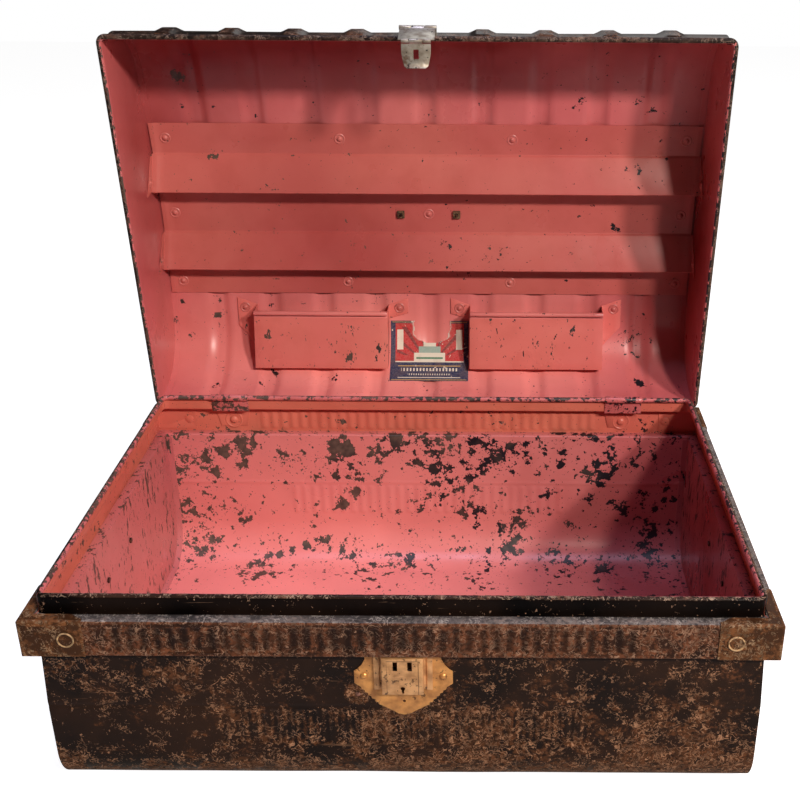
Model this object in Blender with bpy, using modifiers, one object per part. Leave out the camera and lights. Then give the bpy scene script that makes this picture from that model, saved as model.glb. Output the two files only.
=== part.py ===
"""Pressed-steel travelling trunk with a ribbed, domed lid, built piece by piece.

Metres. X runs along the trunk, -Y is the front, +Z is up, and the origin is the centre of the
flat floor face. The base's pieces stand where they are used. The lid's pieces are modelled shut,
in the lid's own frame with its origin on the hinge axis, and the lid's empty swings them open.
"""
import math

import bmesh
import bpy
from mathutils import Matrix, Vector

# Sheet, gaps and wires
SHEET = 0.0008              # steel sheet of the trunk
GAP = 0.0003                # clearance between pieces that touch
MITRE_GAP = 0.0006          # extra shortening of folded strips at a mitred corner
WIRE_R = 0.0022             # wire rolled into the rims
STRAP_SHEET = 0.0010        # hinge straps
CURL_STEPS = 7              # facets of a rolled rim

# Base
TRUNK_LENGTH = 0.760        # over the corner caps
TRUNK_DEPTH = 0.515         # over the corner caps
BODY_HEIGHT = 0.190         # floor to the lower edge of the belt
BELT_HEIGHT = 0.041         # belt face, from its lower edge to the shelf
BODY_INSET = 0.013          # belt face to the body's outer wall
SHELF = 0.014               # belt face to the upstand
UPSTAND = 0.022             # shelf to the top of the rolled rim
FLOOR_RADIUS = 0.055        # bend between the walls and the floor
FLOOR_STEPS = 7
HEM = 0.006                 # belt sheet turned in under the ledge
END_FLANGE = 0.008          # lap of an end panel inside the wrap
WRAP_LIP = 0.0034           # the wrap's edge past the end panels, below the ledge
LIP_DROP = (0.002, 0.006)   # below the ledge, where the lip starts and is full

# Flutes pressed in the belt and the body walls
FLUTE_PITCH = 0.0135
FLUTE_DEPTH = 0.0012
FLUTE_FADE = 0.004
BELT_FLUTES_START = 0.090   # plain belt at the left end
BELT_FLUTES_STOP = 0.1435   # plain belt at the right end
BELT_FLUTE_MARGIN = 0.005   # plain border above and below the belt's flutes
BODY_FLUTES_MARGIN = 0.184  # plain wall at each end
BODY_FLUTES_RISE = 0.013    # above the floor's bend
BODY_FLUTES_TALL = 0.044

# Corner caps and inner patches
CAP_LENGTH = 0.065
CAP_FLAP = 0.0115
CAP_FLAP_SLANT = 0.014
PATCH_LENGTH = 0.055
PATCH_MARGIN = 0.0035
CORNER_RIVET_X = 0.047      # rivet centre, back from the trunk's corner

# Lid
LID_OPEN = math.radians(84.0)
LID_DEPTH = 0.1324          # rim plane to the crown of the dome
LID_SKIRT = 0.034
LID_CORNER_RADIUS = 0.084
LID_SIDE_CLEARANCE = 0.0036 # upstand to the skirt, at the front and both ends
LID_BACK_CLEARANCE = 0.0019 # upstand to the skirt at the back, where the straps pass
CORNER_STEPS = 5
CROWN_STEPS = 4
RIB_COUNT = 9
RIB_MARGIN = 0.0673         # end wall to the middle of the outer rib
RIB_WIDTH = 0.032
RIB_CREST = 0.014
RIB_HEIGHT = 0.004
RIB_START = 0.010           # height on the skirt where a rib begins
RIB_FULL = 0.018

# Stiffener inside the dome, pressed with two ramps that fall away from the hinge
STIFFENER_BACK = 0.01245    # behind the middle of the dome
STIFFENER_MIDDLE = 0.064    # flange between the ramps
STIFFENER_RAMP = 0.048
STIFFENER_OUTER = 0.042     # outer flanges
RAMP_RISE = 0.031           # a ramp's high edge, below the crown
RAMP_STEP = 0.0025          # the crease where a ramp leaves its flange
RAMP_SLOPE = 0.002          # lean of the step and of the high edge's return
TAB_HEIGHT = 0.021          # end tab at the ramp's high edge
TAB_LOW_SHARE = 0.35        # the same at the crease, as a share
RAMP_ROWS = (3, 8)          # rows of the section where a ramp starts

# Pockets in the lid
POCKET_INNER = 0.0585       # from the trunk's middle to the near side of a pocket
POCKET_FROM_END = 0.1335    # trunk's end to the far side of a pocket
POCKET_BELOW = 0.017        # stiffener's edge to the upper edge of the front
POCKET_SLANT = 0.773        # share of the way back to the hinge that the front covers
POCKET_LOW_UNDER = 0.0664   # below the crown, lower edge of the front
POCKET_TOP_UNDER = 0.0404   # the same for the upper edge
POCKET_EAR = 0.028
POCKET_EAR_RISE = 0.010     # an ear's upper edge above the front's
POCKET_EAR_SHARES = (0.79, 0.40)    # where the near and the far ear's foot meets the side
POCKET_EAR_CUTS = (0.008, 0.027)    # how far each ear's foot rises to its outer corner
POCKET_BEAD = 0.003

# Paper label
LABEL_WIDTH = 0.112
LABEL_FROM = 0.007
LABEL_TO = 0.0735
LABEL_SHEET = 0.0003

# Hinge straps
STRAP_FROM_END = 0.109      # trunk's end to the middle of a strap
STRAP_WIDTH = 0.050
STRAP_LEAF_FOOT = 0.010     # above the belt's lower edge
STRAP_NOTCH_SIDE = 0.001
STRAP_NOTCH_HEIGHT = 0.0056

# Lid handle
HANDLE_CENTRE = 0.0015
HANDLE_BACK = 0.0055        # behind the middle of the stiffener
HANDLE_SPAN = 0.077         # between the eyes
BAIL_R = 0.0030
BAIL_REACH = 0.036
BAIL_OVERLAP = 0.007        # bail leg outside each eye
EYE_R = 0.0057              # centre line of an eye's ring
EYE_ROD = 0.0020
EYE_LIFT = 0.0024           # from the sheet to the ring's start
NUT_WIDTH = 0.0100
NUT_HEIGHT = 0.0040

# End handles
END_HANDLE_DROP = 0.050     # below the belt
END_HANDLE_SPAN = 0.090
END_BAIL_REACH = 0.042
END_PLATE_LENGTH = 0.124
END_PLATE_HEIGHT = 0.026
END_PLATE_SHEET = 0.0012

# Lock
LOCK_SHEET = 0.0008
LOCK_TOP_GAP = 0.0010       # below the belt
LOCK_HALF_WIDE = 0.0505
LOCK_DROP = 0.0814          # belt to the escutcheon's lowest point
CASE_HALF = 0.021
CASE_DROP = 0.0465
CASE_TOP_GAP = 0.0018
CASE_PROUD = 0.0126         # body wall to the case's face
MOULDING_HALF = 0.0295
MOULDING_PROUD = 0.0040
SLOT_WIDTH = 0.0045
SLOT_HEIGHT = 0.0110
SLOT_SPACING = 0.0148
SLOT_DROP = 0.0115
KEYHOLE_DROP = 0.0390
KEYHOLE_R = 0.0024
BOLT_WIDTH = 0.031
BOLT_HEIGHT = 0.020
BOLT_SHEET = 0.0020
BOLT_THROW = 0.0045
SPRING_SHEET = 0.0005
LOCK_RIVET_X = 0.0405
LOCK_HOLE_R = 0.0018
LOCK_RIVET_DROP = 0.032

# Hasp
HASP_PROUD = 0.0101           # axis forward of the lid's rim wire
HASP_RISE = 0.0120            # axis above the rim plane
HASP_SHEET = 0.0011
KNUCKLE_R = 0.0014            # inner radius of a hasp knuckle
PIN_R = 0.0011
HASP_PLATE_WIDTH = 0.042
HASP_PLATE_REACH = 0.042
HASP_PLATE_DROOP = math.radians(14.0)
TONGUE_WIDTH = 0.034
TONGUE_TIP_WIDTH = 0.030
TONGUE_REACH = 0.030
TONGUE_SLOT = (0.006, 0.0105)
PRONG_REACH = 0.025
PRONG_LENGTH = 0.005
LEAF_WIDTH = 0.044
LEAF_TOP = 0.033
KNUCKLE_HALF = 0.0075         # half length of the middle knuckle
KNUCKLE_SIDE_GAP = 0.0005

# Rivets
RIVET_SIDES = 8
RIVET_SHANK = 0.0020
RIVET_HOLE = 0.0024

# Places worked out from the sizes above
CAP_STAND = SHEET + GAP
BELT_X = TRUNK_LENGTH / 2 - CAP_STAND
BELT_Y = TRUNK_DEPTH / 2 - CAP_STAND
SHELF_Z = BODY_HEIGHT + BELT_HEIGHT
RIM_Z = SHELF_Z + UPSTAND
CURL_MID = WIRE_R + GAP + SHEET / 2
CURL_OUT = CURL_MID + SHEET / 2
BASE_CURL_D = SHELF + SHEET / 2 + CURL_MID
BASE_CURL_Z = RIM_Z - CURL_OUT
WALL_X = BELT_X - BODY_INSET
WALL_Y = BELT_Y - BODY_INSET
LEDGE_Z = BODY_HEIGHT + SHEET + GAP + SHEET / 2
BODY_FLUTES_LOW = FLOOR_RADIUS + BODY_FLUTES_RISE
BODY_FLUTES_HIGH = BODY_FLUTES_LOW + BODY_FLUTES_TALL
BODY_FLUTES = round((TRUNK_LENGTH - 2 * BODY_FLUTES_MARGIN) / FLUTE_PITCH)
BELT_FLUTES = round((TRUNK_LENGTH - BELT_FLUTES_START - BELT_FLUTES_STOP) / FLUTE_PITCH)
STRAP_OFFSET = TRUNK_LENGTH / 2 - STRAP_FROM_END
STRAP_LEAF_LOW = BODY_HEIGHT + STRAP_LEAF_FOOT
END_HANDLE_HEIGHT = BODY_HEIGHT - END_HANDLE_DROP
CASE_LOW = BODY_HEIGHT - CASE_DROP
SLOT_CENTRE = BODY_HEIGHT - SLOT_DROP
KEYHOLE_CENTRE = BODY_HEIGHT - KEYHOLE_DROP
LOCK_RIVET_Z = BODY_HEIGHT - LOCK_RIVET_DROP
HINGE_Y = BELT_Y - SHELF + LID_BACK_CLEARANCE + SHEET / 2 + CURL_MID
HINGE_Z = SHELF_Z + CAP_STAND + GAP + CURL_OUT + 0.0001
LID_FRONT_Y = -(BELT_Y - SHELF + LID_SIDE_CLEARANCE + SHEET / 2 + CURL_MID)
LID_REACH = HINGE_Y - LID_FRONT_Y
LID_CURL_X = BELT_X - SHELF + LID_SIDE_CLEARANCE + SHEET / 2 + CURL_MID
LID_WALL_X = LID_CURL_X - CURL_MID
RIB_PITCH = 2 * (LID_WALL_X - RIB_MARGIN) / (RIB_COUNT - 1)
STIFFENER_CENTRE = LID_REACH / 2 - STIFFENER_BACK
STIFFENER_EDGE = STIFFENER_CENTRE - STIFFENER_MIDDLE / 2 - STIFFENER_RAMP - STIFFENER_OUTER
HANDLE_AT = STIFFENER_CENTRE - HANDLE_BACK
POCKET_WIDTH = TRUNK_LENGTH / 2 - POCKET_FROM_END - POCKET_INNER
POCKET_TOP_AT = STIFFENER_EDGE - POCKET_BELOW
POCKET_LOW_AT = POCKET_TOP_AT * (1 - POCKET_SLANT)
POCKET_LOW = (POCKET_LOW_AT, LID_DEPTH - POCKET_LOW_UNDER)
POCKET_TOP = (POCKET_TOP_AT, LID_DEPTH - POCKET_TOP_UNDER)
HASP_AXIS = (LID_REACH + HASP_PROUD, HASP_RISE)
DOME_HALF = LID_REACH / 2 - CURL_MID
DOME_CORNER_T = DOME_HALF - LID_CORNER_RADIUS
DOME_RISE = LID_DEPTH - LID_SKIRT
CROWN_RADIUS = (
    (DOME_CORNER_T ** 2 + DOME_RISE ** 2 - LID_CORNER_RADIUS ** 2)
    / (2 * (DOME_RISE - LID_CORNER_RADIUS))
)
CROWN_CENTRE = LID_DEPTH - CROWN_RADIUS
CROWN_SLOPE = math.atan2(DOME_CORNER_T, LID_SKIRT - CROWN_CENTRE)

STACK_UNDER_EYE = GAP + SHEET + GAP + SHEET + GAP
SIDES = {-1: "left", 1: "right"}
CORNERS = {
    (-1, -1): "front_left", (1, -1): "front_right", (-1, 1): "back_left", (1, 1): "back_right",
}

# Colours: base colour, roughness, metallic
FINISHES = {
    "japan_black": ((0.020, 0.014, 0.012), 0.42, 0.0),
    "pink_paint": ((0.46, 0.11, 0.09), 0.38, 0.0),
    "rusty_brown": ((0.13, 0.06, 0.035), 0.62, 0.5),
    "brass": ((0.52, 0.30, 0.14), 0.40, 0.9),
    "galvanised": ((0.40, 0.37, 0.30), 0.45, 0.8),
    "bare_steel": ((0.16, 0.14, 0.13), 0.40, 0.9),
    "paper": ((0.55, 0.08, 0.07), 0.80, 0.0),
}


def clear_scene():
    """Remove every object that is in the scene."""
    for item in list(bpy.data.objects):
        bpy.data.objects.remove(item, do_unlink=True)


def new_collection(name):
    """Make a collection under the scene."""
    group = bpy.data.collections.new(name)
    bpy.context.scene.collection.children.link(group)
    return group


def finish(name):
    """Give the named finish as a material, made once."""
    found = bpy.data.materials.get(name)
    if found:
        return found
    colour, roughness, metallic = FINISHES[name]
    made = bpy.data.materials.new(name)
    made.use_nodes = True
    shader = made.node_tree.nodes["Principled BSDF"]
    shader.inputs["Base Color"].default_value = (*colour, 1.0)
    shader.inputs["Roughness"].default_value = roughness
    shader.inputs["Metallic"].default_value = metallic
    return made


def add_mesh(name, bm, look, parent=None):
    """Turn a bmesh into one named part."""
    bmesh.ops.recalc_face_normals(bm, faces=bm.faces[:])
    mesh = bpy.data.meshes.new(name)
    bm.to_mesh(mesh)
    bm.free()
    part = bpy.data.objects.new(name, mesh)
    PARTS.objects.link(part)
    mesh.materials.append(finish(look))
    part.parent = parent
    return part


def thicken(part, thickness=SHEET):
    """Give a folded surface its sheet thickness, half to each side."""
    solid = part.modifiers.new("sheet", "SOLIDIFY")
    solid.thickness = thickness
    solid.offset = 0.0
    solid.use_even_offset = True
    solid.use_quality_normals = True
    return part


def cut(part, cutter, operation="DIFFERENCE"):
    """Cut a part with a cutter, or join the cutter to it."""
    boolean = part.modifiers.new(operation.lower(), "BOOLEAN")
    boolean.operation = operation
    boolean.object = cutter
    boolean.solver = "EXACT"
    return part


def add_cutter(name, bm, parent=None):
    """Keep a cutter out of the parts, drawn as a wire."""
    bmesh.ops.recalc_face_normals(bm, faces=bm.faces[:])
    mesh = bpy.data.meshes.new(name)
    bm.to_mesh(mesh)
    bm.free()
    cutter = bpy.data.objects.new(name, mesh)
    CUTTERS.objects.link(cutter)
    cutter.display_type = "WIRE"
    cutter.hide_render = True
    cutter.parent = parent
    return cutter


def add_box(bm, low, high):
    """Add a box between two corners to a bmesh."""
    made = bmesh.ops.create_cube(bm, size=1.0)
    size = [b - a for a, b in zip(low, high)]
    middle = [(a + b) / 2 for a, b in zip(low, high)]
    bmesh.ops.scale(bm, vec=size, verts=made["verts"])
    bmesh.ops.translate(bm, vec=middle, verts=made["verts"])
    return made["verts"]


def add_rod(bm, start, end, radius, sides=RIVET_SIDES):
    """Add a closed cylinder between two points to a bmesh."""
    start, end = Vector(start), Vector(end)
    run = end - start
    made = bmesh.ops.create_cone(
        bm, cap_ends=True, segments=sides, radius1=radius, radius2=radius, depth=run.length
    )
    turn = run.to_track_quat("Z", "Y").to_matrix().to_4x4()
    bmesh.ops.transform(bm, matrix=Matrix.Translation((start + end) / 2) @ turn, verts=made["verts"])
    return made["verts"]


def arc(centre, radius, start, end, steps):
    """List points on a circle's arc, angles in degrees, both ends included."""
    points = []
    for index in range(steps + 1):
        angle = math.radians(start + (end - start) * index / steps)
        points.append((centre[0] + radius * math.cos(angle), centre[1] + radius * math.sin(angle)))
    return points


def folded_grid(rows, columns, place, pressed_rows=()):
    """Make a grid of rows and columns and put each corner where place says.

    Between rows that carry no pressing the columns are merged again into plain strips.
    """
    bm = bmesh.new()
    bmesh.ops.create_grid(bm, x_segments=columns - 1, y_segments=rows - 1, size=0.5)
    spot = {}
    for vert in bm.verts:
        column = round((vert.co.x + 0.5) * (columns - 1))
        row = round((vert.co.y + 0.5) * (rows - 1))
        spot[vert] = (row, column)
    spare = []
    for edge in bm.edges:
        (row_a, col_a), (row_b, col_b) = spot[edge.verts[0]], spot[edge.verts[1]]
        inner = col_a == col_b and 0 < col_a < columns - 1
        if inner and row_a not in pressed_rows and row_b not in pressed_rows:
            spare.append(edge)
    for vert, (row, column) in spot.items():
        vert.co = place(row, column)
    if spare:
        bmesh.ops.dissolve_edges(bm, edges=spare, use_verts=True)
    return bm


def fold_strip(name, path, half_at, look, parent=None, thickness=SHEET, centre=0.0):
    """Fold one straight strip along X: path holds (y, z), half_at gives each row's half length."""
    def place(row, column):
        side = -1 if column == 0 else 1
        return Vector((centre + side * half_at(row), path[row][0], path[row][1]))

    part = add_mesh(name, folded_grid(len(path), 2, place), look, parent)
    return thicken(part, thickness)


def tube(name, points, radius, look, parent=None, cyclic=False):
    """Sweep a round rod along points, as a mesh with welded caps."""
    curve = bpy.data.curves.new(name, "CURVE")
    curve.dimensions = "3D"
    curve.bevel_depth = radius
    curve.bevel_resolution = 2
    curve.use_fill_caps = not cyclic
    line = curve.splines.new("POLY")
    line.points.add(len(points) - 1)
    for spot, point in zip(line.points, points):
        spot.co = (*point, 1.0)
    line.use_cyclic_u = cyclic
    draft = bpy.data.objects.new(name + "_path", curve)
    bpy.context.scene.collection.objects.link(draft)
    bpy.context.view_layer.update()
    shape = bpy.data.meshes.new_from_object(draft.evaluated_get(bpy.context.evaluated_depsgraph_get()))
    bm = bmesh.new()
    bm.from_mesh(shape)
    bmesh.ops.remove_doubles(bm, verts=bm.verts[:], dist=1e-6)
    bpy.data.objects.remove(draft, do_unlink=True)
    part = add_mesh(name, bm, look, parent)
    part.data.shade_smooth()
    return part


def rivet_shape(name, grip, head_r, head_h, tail_r):
    """Turn a rivet on Z: domed head above 0, shank down through the grip, upset tail."""
    profile = [
        (0.0, head_h), (head_r * 0.65, head_h * 0.75), (head_r, 0.0), (RIVET_SHANK, 0.0),
        (RIVET_SHANK, -grip), (tail_r, -grip), (tail_r * 0.6, -grip - head_h * 0.5),
        (0.0, -grip - head_h * 0.5),
    ]
    bm = bmesh.new()
    verts = [bm.verts.new((radius, 0.0, height)) for radius, height in profile]
    edges = [bm.edges.new(pair) for pair in zip(verts, verts[1:])]
    bmesh.ops.spin(
        bm, geom=verts + edges, cent=(0, 0, 0), axis=(0, 0, 1), angle=2 * math.pi, steps=RIVET_SIDES
    )
    bmesh.ops.remove_doubles(bm, verts=bm.verts[:], dist=1e-6)
    bmesh.ops.recalc_face_normals(bm, faces=bm.faces[:])
    mesh = bpy.data.meshes.new(name)
    bm.to_mesh(mesh)
    bm.free()
    return mesh


def set_rivets(rivets, shape, look, parent=None):
    """Put a like rivet at each named spot, its head facing away from the axis given."""
    mesh = rivet_shape(*shape)
    mesh.materials.append(finish(look))
    for name, spot, axis in rivets:
        rivet = bpy.data.objects.new(name, mesh)
        rivet.location = spot
        rivet.rotation_euler = (-Vector(axis)).to_track_quat("Z", "Y").to_euler()
        rivet.parent = parent
        PARTS.objects.link(rivet)


def drill(parts, name, holes, parent=None):
    """Drill the same clearance holes, given as (start, end, radius), through several parts."""
    bm = bmesh.new()
    for start, end, radius in holes:
        add_rod(bm, start, end, radius)
    cutter = add_cutter(name, bm, parent)
    for part in parts:
        cut(part, cutter)


# Base


def wrap_path():
    """Section of the wrap: front ledge, front wall, floor, back wall, back ledge."""
    wall = WALL_Y - SHEET / 2
    floor = SHEET / 2
    radius = FLOOR_RADIUS - SHEET / 2
    ledge_edge = BELT_Y - SHEET - GAP
    band = (
        BODY_FLUTES_HIGH, BODY_FLUTES_HIGH - FLUTE_FADE, BODY_FLUTES_LOW + FLUTE_FADE, BODY_FLUTES_LOW
    )
    front = [(-ledge_edge, LEDGE_Z), (-wall, LEDGE_Z)] + [(-wall, LEDGE_Z - drop) for drop in LIP_DROP]
    front += [(-wall, z) for z in band]
    front += arc((-wall + radius, floor + radius), radius, 180, 270, FLOOR_STEPS)
    return front + [(-y, z) for y, z in reversed(front)]


def flute_columns(start, count, half, plain=()):
    """X of each column of a fluted band and how far it is pressed in: 0, or 1 off the plain spots."""
    left = start - TRUNK_LENGTH / 2
    columns = [(-half, 0.0), (left, 0.0)]
    for index in range(count):
        middle = left + (index + 0.5) * FLUTE_PITCH
        if all(abs(middle - spot) > STRAP_WIDTH / 2 + FLUTE_PITCH / 2 for spot in plain):
            columns.append((middle, 1.0))
        columns.append((left + (index + 1) * FLUTE_PITCH, 0.0))
    columns.append((half, 0.0))
    return columns


def build_tub_wrap():
    """Front wall, floor and back wall in one sheet, with a band of flutes on each wall."""
    path = wrap_path()
    columns = flute_columns(BODY_FLUTES_MARGIN, BODY_FLUTES, WALL_X)
    last = len(path) - 1
    pressed = {5: 1, 6: 1, last - 6: -1, last - 5: -1}
    lipped = range(3, last - 2)

    def place(row, column):
        y, z = path[row]
        x, press = columns[column]
        if column in (0, len(columns) - 1) and row in (0, last):
            x += math.copysign(BELT_Y - SHEET - GAP - WALL_Y, x)
        elif column in (0, len(columns) - 1) and row in lipped:
            x += math.copysign(WRAP_LIP, x)
        return Vector((x, y + pressed.get(row, 0) * press * FLUTE_DEPTH, z))

    bm = folded_grid(len(path), len(columns), place, pressed)
    return thicken(add_mesh("tub_wrap", bm, "japan_black"))


def end_outline():
    """Outline of an end panel, from the front ledge down, along the floor and up the back."""
    lap = SHEET + GAP
    wall = WALL_Y - SHEET / 2 - lap
    floor = SHEET / 2 + lap
    radius = FLOOR_RADIUS - SHEET / 2 - lap
    front = [(-wall, LEDGE_Z)] + arc((-wall + radius, floor + radius), radius, 180, 270, FLOOR_STEPS)
    return front + [(-y, z) for y, z in reversed(front)]


def build_end_panel(side, name):
    """End wall: a plate with a lap flange inside the wrap and a ledge turned out under the belt."""
    bm = bmesh.new()
    plate_x = WALL_X - SHEET / 2
    verts = [bm.verts.new((plate_x, y, z)) for y, z in end_outline()]
    bm.faces.new(verts)
    edges = [bm.edges.get(pair) for pair in zip(verts, verts[1:])]
    flange = bmesh.ops.extrude_edge_only(bm, edges=edges)
    moved = [item for item in flange["geom"] if isinstance(item, bmesh.types.BMVert)]
    bmesh.ops.translate(bm, vec=(-END_FLANGE, 0, 0), verts=moved)
    top = bm.edges.get((verts[0], verts[-1]))
    ledge = bmesh.ops.extrude_edge_only(bm, edges=[top])
    moved = [item for item in ledge["geom"] if isinstance(item, bmesh.types.BMVert)]
    reach = BELT_X - SHEET - GAP - plate_x
    for vert in moved:
        vert.co.x += reach
        vert.co.y += math.copysign(reach, vert.co.y)
    if side < 0:
        bmesh.ops.scale(bm, vec=(-1, 1, 1), verts=bm.verts[:])
    return thicken(add_mesh(name, bm, "japan_black"))


def collar_path():
    """Section of the collar as (inward distance from the belt's face, height)."""
    belt = SHEET / 2
    upstand = SHELF + SHEET / 2
    foot = BODY_HEIGHT + SHEET / 2
    shelf = SHELF_Z - SHEET / 2
    low = BODY_HEIGHT + BELT_FLUTE_MARGIN
    high = SHELF_Z - BELT_FLUTE_MARGIN
    path = [(HEM, foot), (belt, foot), (belt, low), (belt, low + FLUTE_FADE)]
    path += [(belt, high - FLUTE_FADE), (belt, high), (belt, shelf), (upstand, shelf)]
    return path + arc((BASE_CURL_D, BASE_CURL_Z), CURL_MID, 180, -80, CURL_STEPS)


def build_collar(name, along_x, side):
    """Belt, shelf, upstand and rolled rim in one folded strip, mitred at both ends."""
    path = collar_path()
    half = BELT_X if along_x else BELT_Y
    across = BELT_Y if along_x else BELT_X
    fluted = along_x
    columns = [(-half, 0.0), (half, 0.0)]
    if fluted:
        straps = (-STRAP_OFFSET, STRAP_OFFSET) if side > 0 else ()
        columns = flute_columns(BELT_FLUTES_START, BELT_FLUTES, half, straps)

    def place(row, column):
        inward, z = path[row]
        run, press = columns[column]
        if column in (0, len(columns) - 1):
            run = math.copysign(half - inward - MITRE_GAP, run)
        if row in (3, 4):
            inward += press * FLUTE_DEPTH
        out = side * (across - inward)
        return Vector((run, out, z)) if along_x else Vector((out, run, z))

    bm = folded_grid(len(path), len(columns), place, (3, 4) if fluted else ())
    return thicken(add_mesh(name, bm, "japan_black"))


def build_corner_cap(name, side_x, side_y):
    """Cap folded over a corner of the belt, with a slanted flap on the shelf."""
    x = BELT_X + GAP + SHEET / 2
    y = BELT_Y + GAP + SHEET / 2
    low = BODY_HEIGHT
    top = SHELF_Z + GAP + SHEET / 2
    start_x = TRUNK_LENGTH / 2 - CAP_LENGTH
    start_y = TRUNK_DEPTH / 2 - CAP_LENGTH
    inner_x = BELT_X - CAP_FLAP
    inner_y = BELT_Y - CAP_FLAP
    bm = bmesh.new()
    rim = [bm.verts.new(spot) for spot in ((start_x, y, top), (x, y, top), (x, start_y, top))]
    flap = [
        (x - CAP_FLAP * 0.35, start_y + CAP_FLAP_SLANT * 0.25, top),
        (inner_x, start_y + CAP_FLAP_SLANT, top),
        (inner_x, inner_y, top),
        (start_x + CAP_FLAP_SLANT, inner_y, top),
        (start_x + CAP_FLAP_SLANT * 0.25, y - CAP_FLAP * 0.35, top),
    ]
    bm.faces.new(rim + [bm.verts.new(spot) for spot in flap])
    edges = [bm.edges.get(pair) for pair in zip(rim, rim[1:])]
    drop = bmesh.ops.extrude_edge_only(bm, edges=edges)
    moved = [item for item in drop["geom"] if isinstance(item, bmesh.types.BMVert)]
    bmesh.ops.translate(bm, vec=(0, 0, low - top), verts=moved)
    bmesh.ops.scale(bm, vec=(side_x, side_y, 1), verts=bm.verts[:])
    return thicken(add_mesh(name, bm, "rusty_brown"))


def build_corner_patch(name, side_x, side_y):
    """Angle plate riveted inside a corner of the belt."""
    inset = SHEET + GAP + SHEET / 2
    x, y = BELT_X - inset, BELT_Y - inset
    low = LEDGE_Z + SHEET / 2 + PATCH_MARGIN
    high = SHELF_Z - SHEET - PATCH_MARGIN
    run = [(BELT_X - PATCH_LENGTH, y), (x, y), (x, BELT_Y - PATCH_LENGTH)]

    def place(row, column):
        px, py = run[column]
        return Vector((side_x * px, side_y * py, (low, high)[row]))

    return thicken(add_mesh(name, folded_grid(2, 3, place, (0, 1)), "pink_paint"))


def rim_loop(half_x, low_y, high_y, z):
    """Corner points of a rectangular rim wire."""
    return [(-half_x, low_y, z), (half_x, low_y, z), (half_x, high_y, z), (-half_x, high_y, z)]


def build_hinge_strap(name, side):
    """Strap: leaf on the belt, round the rolled rim, knuckle round the lid's rim wire."""
    half = STRAP_SHEET / 2
    leaf_y = BELT_Y - SHEET - GAP - half
    shelf_z = SHELF_Z - SHEET - GAP - half
    inner_y = BELT_Y - SHELF - SHEET - GAP - half
    outer_y = BELT_Y - SHELF + GAP + half
    bead = (BELT_Y - BASE_CURL_D, BASE_CURL_Z)
    bead_r = CURL_OUT + GAP + half
    knuckle_r = WIRE_R + GAP + half
    under = math.degrees(math.asin((inner_y - bead[0]) / bead_r))
    path = [(leaf_y, STRAP_LEAF_LOW), (leaf_y, shelf_z), (inner_y, shelf_z)]
    path += arc(bead, bead_r, -90 + under, -360, 8)
    path.append((outer_y, HINGE_Z + CURL_OUT + STRAP_NOTCH_HEIGHT / 2))
    path += arc((HINGE_Y, HINGE_Z), knuckle_r, 150, 450, 8)
    # the tail meets the edge of the lid's notch when the lid is open, which is the lid's stop
    notch = STRAP_NOTCH_HEIGHT * math.sin(LID_OPEN) - CURL_MID * math.cos(LID_OPEN)
    path.append((HINGE_Y + notch - GAP, HINGE_Z + knuckle_r))
    taper = {0: 0.72}

    def half_at(row):
        return STRAP_WIDTH / 2 * taper.get(row, 1.0)

    return fold_strip(
        name, path, half_at, "bare_steel", thickness=STRAP_SHEET, centre=side * STRAP_OFFSET
    )


def corner_rivets():
    """Rivets through each cap, the belt and the patch, on the long sides."""
    z = BODY_HEIGHT + BELT_HEIGHT / 2
    rivets = []
    for (side_x, side_y), label in CORNERS.items():
        spot = (side_x * (TRUNK_LENGTH / 2 - CORNER_RIVET_X), side_y * (TRUNK_DEPTH / 2 + GAP), z)
        rivets.append(("corner_rivet_" + label, spot, (0, -side_y, 0)))
    return rivets


def strap_rivets():
    """One large rivet through each strap's leaf and the belt."""
    y = BELT_Y - SHEET - GAP - STRAP_SHEET - GAP
    z = BODY_HEIGHT + BELT_HEIGHT / 2 - 0.001
    return [
        ("strap_rivet_" + label, (side * STRAP_OFFSET, y, z), (0, 1, 0)) for side, label in SIDES.items()
    ]


# Lock on the front wall


def escutcheon_half():
    """Right half of the escutcheon's outline as (x, z), top to bottom, with its notched slant."""
    def at(wide, drop):
        return Vector((wide * LOCK_HALF_WIDE, BODY_HEIGHT - drop * LOCK_DROP))

    top = LOCK_TOP_GAP / LOCK_DROP
    points = [at(0.772, top), at(0.772, 0.135), at(0.842, 0.221), at(0.941, 0.289)]
    points += [at(1.0, 0.313), at(1.0, 0.504)]
    start, end, notches = at(0.871, 0.565), at(0.467, 0.851), 6
    along = (end - start) / notches
    out = Vector((-along.y, along.x)).normalized() * along.length * 0.27
    points.append(start)
    for index in range(notches):
        points += [start + along * (index + 0.45) + out, start + along * (index + 1)]
    points += [at(0.347, 0.894), at(0.228, 0.936), at(0.119, 0.983)]
    return [tuple(point) for point in points]


def build_lock_plate():
    """Brass escutcheon cut from sheet, with the little hole under the keyhole."""
    half = escutcheon_half()
    outline = half + [(0.0, BODY_HEIGHT - LOCK_DROP)] + [(-x, z) for x, z in reversed(half)]
    y = -(WALL_Y + GAP + LOCK_SHEET / 2)
    hole_z = BODY_HEIGHT - LOCK_DROP * 0.783
    bm = bmesh.new()
    bm.faces.new([bm.verts.new((x, y, z)) for x, z in outline])
    plate = thicken(add_mesh("lock_plate", bm, "brass"), LOCK_SHEET)
    drill([plate], "lock_plate_hole", [((0, y - 0.01, hole_z), (0, y + 0.01, hole_z), LOCK_HOLE_R)])
    return plate


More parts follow.
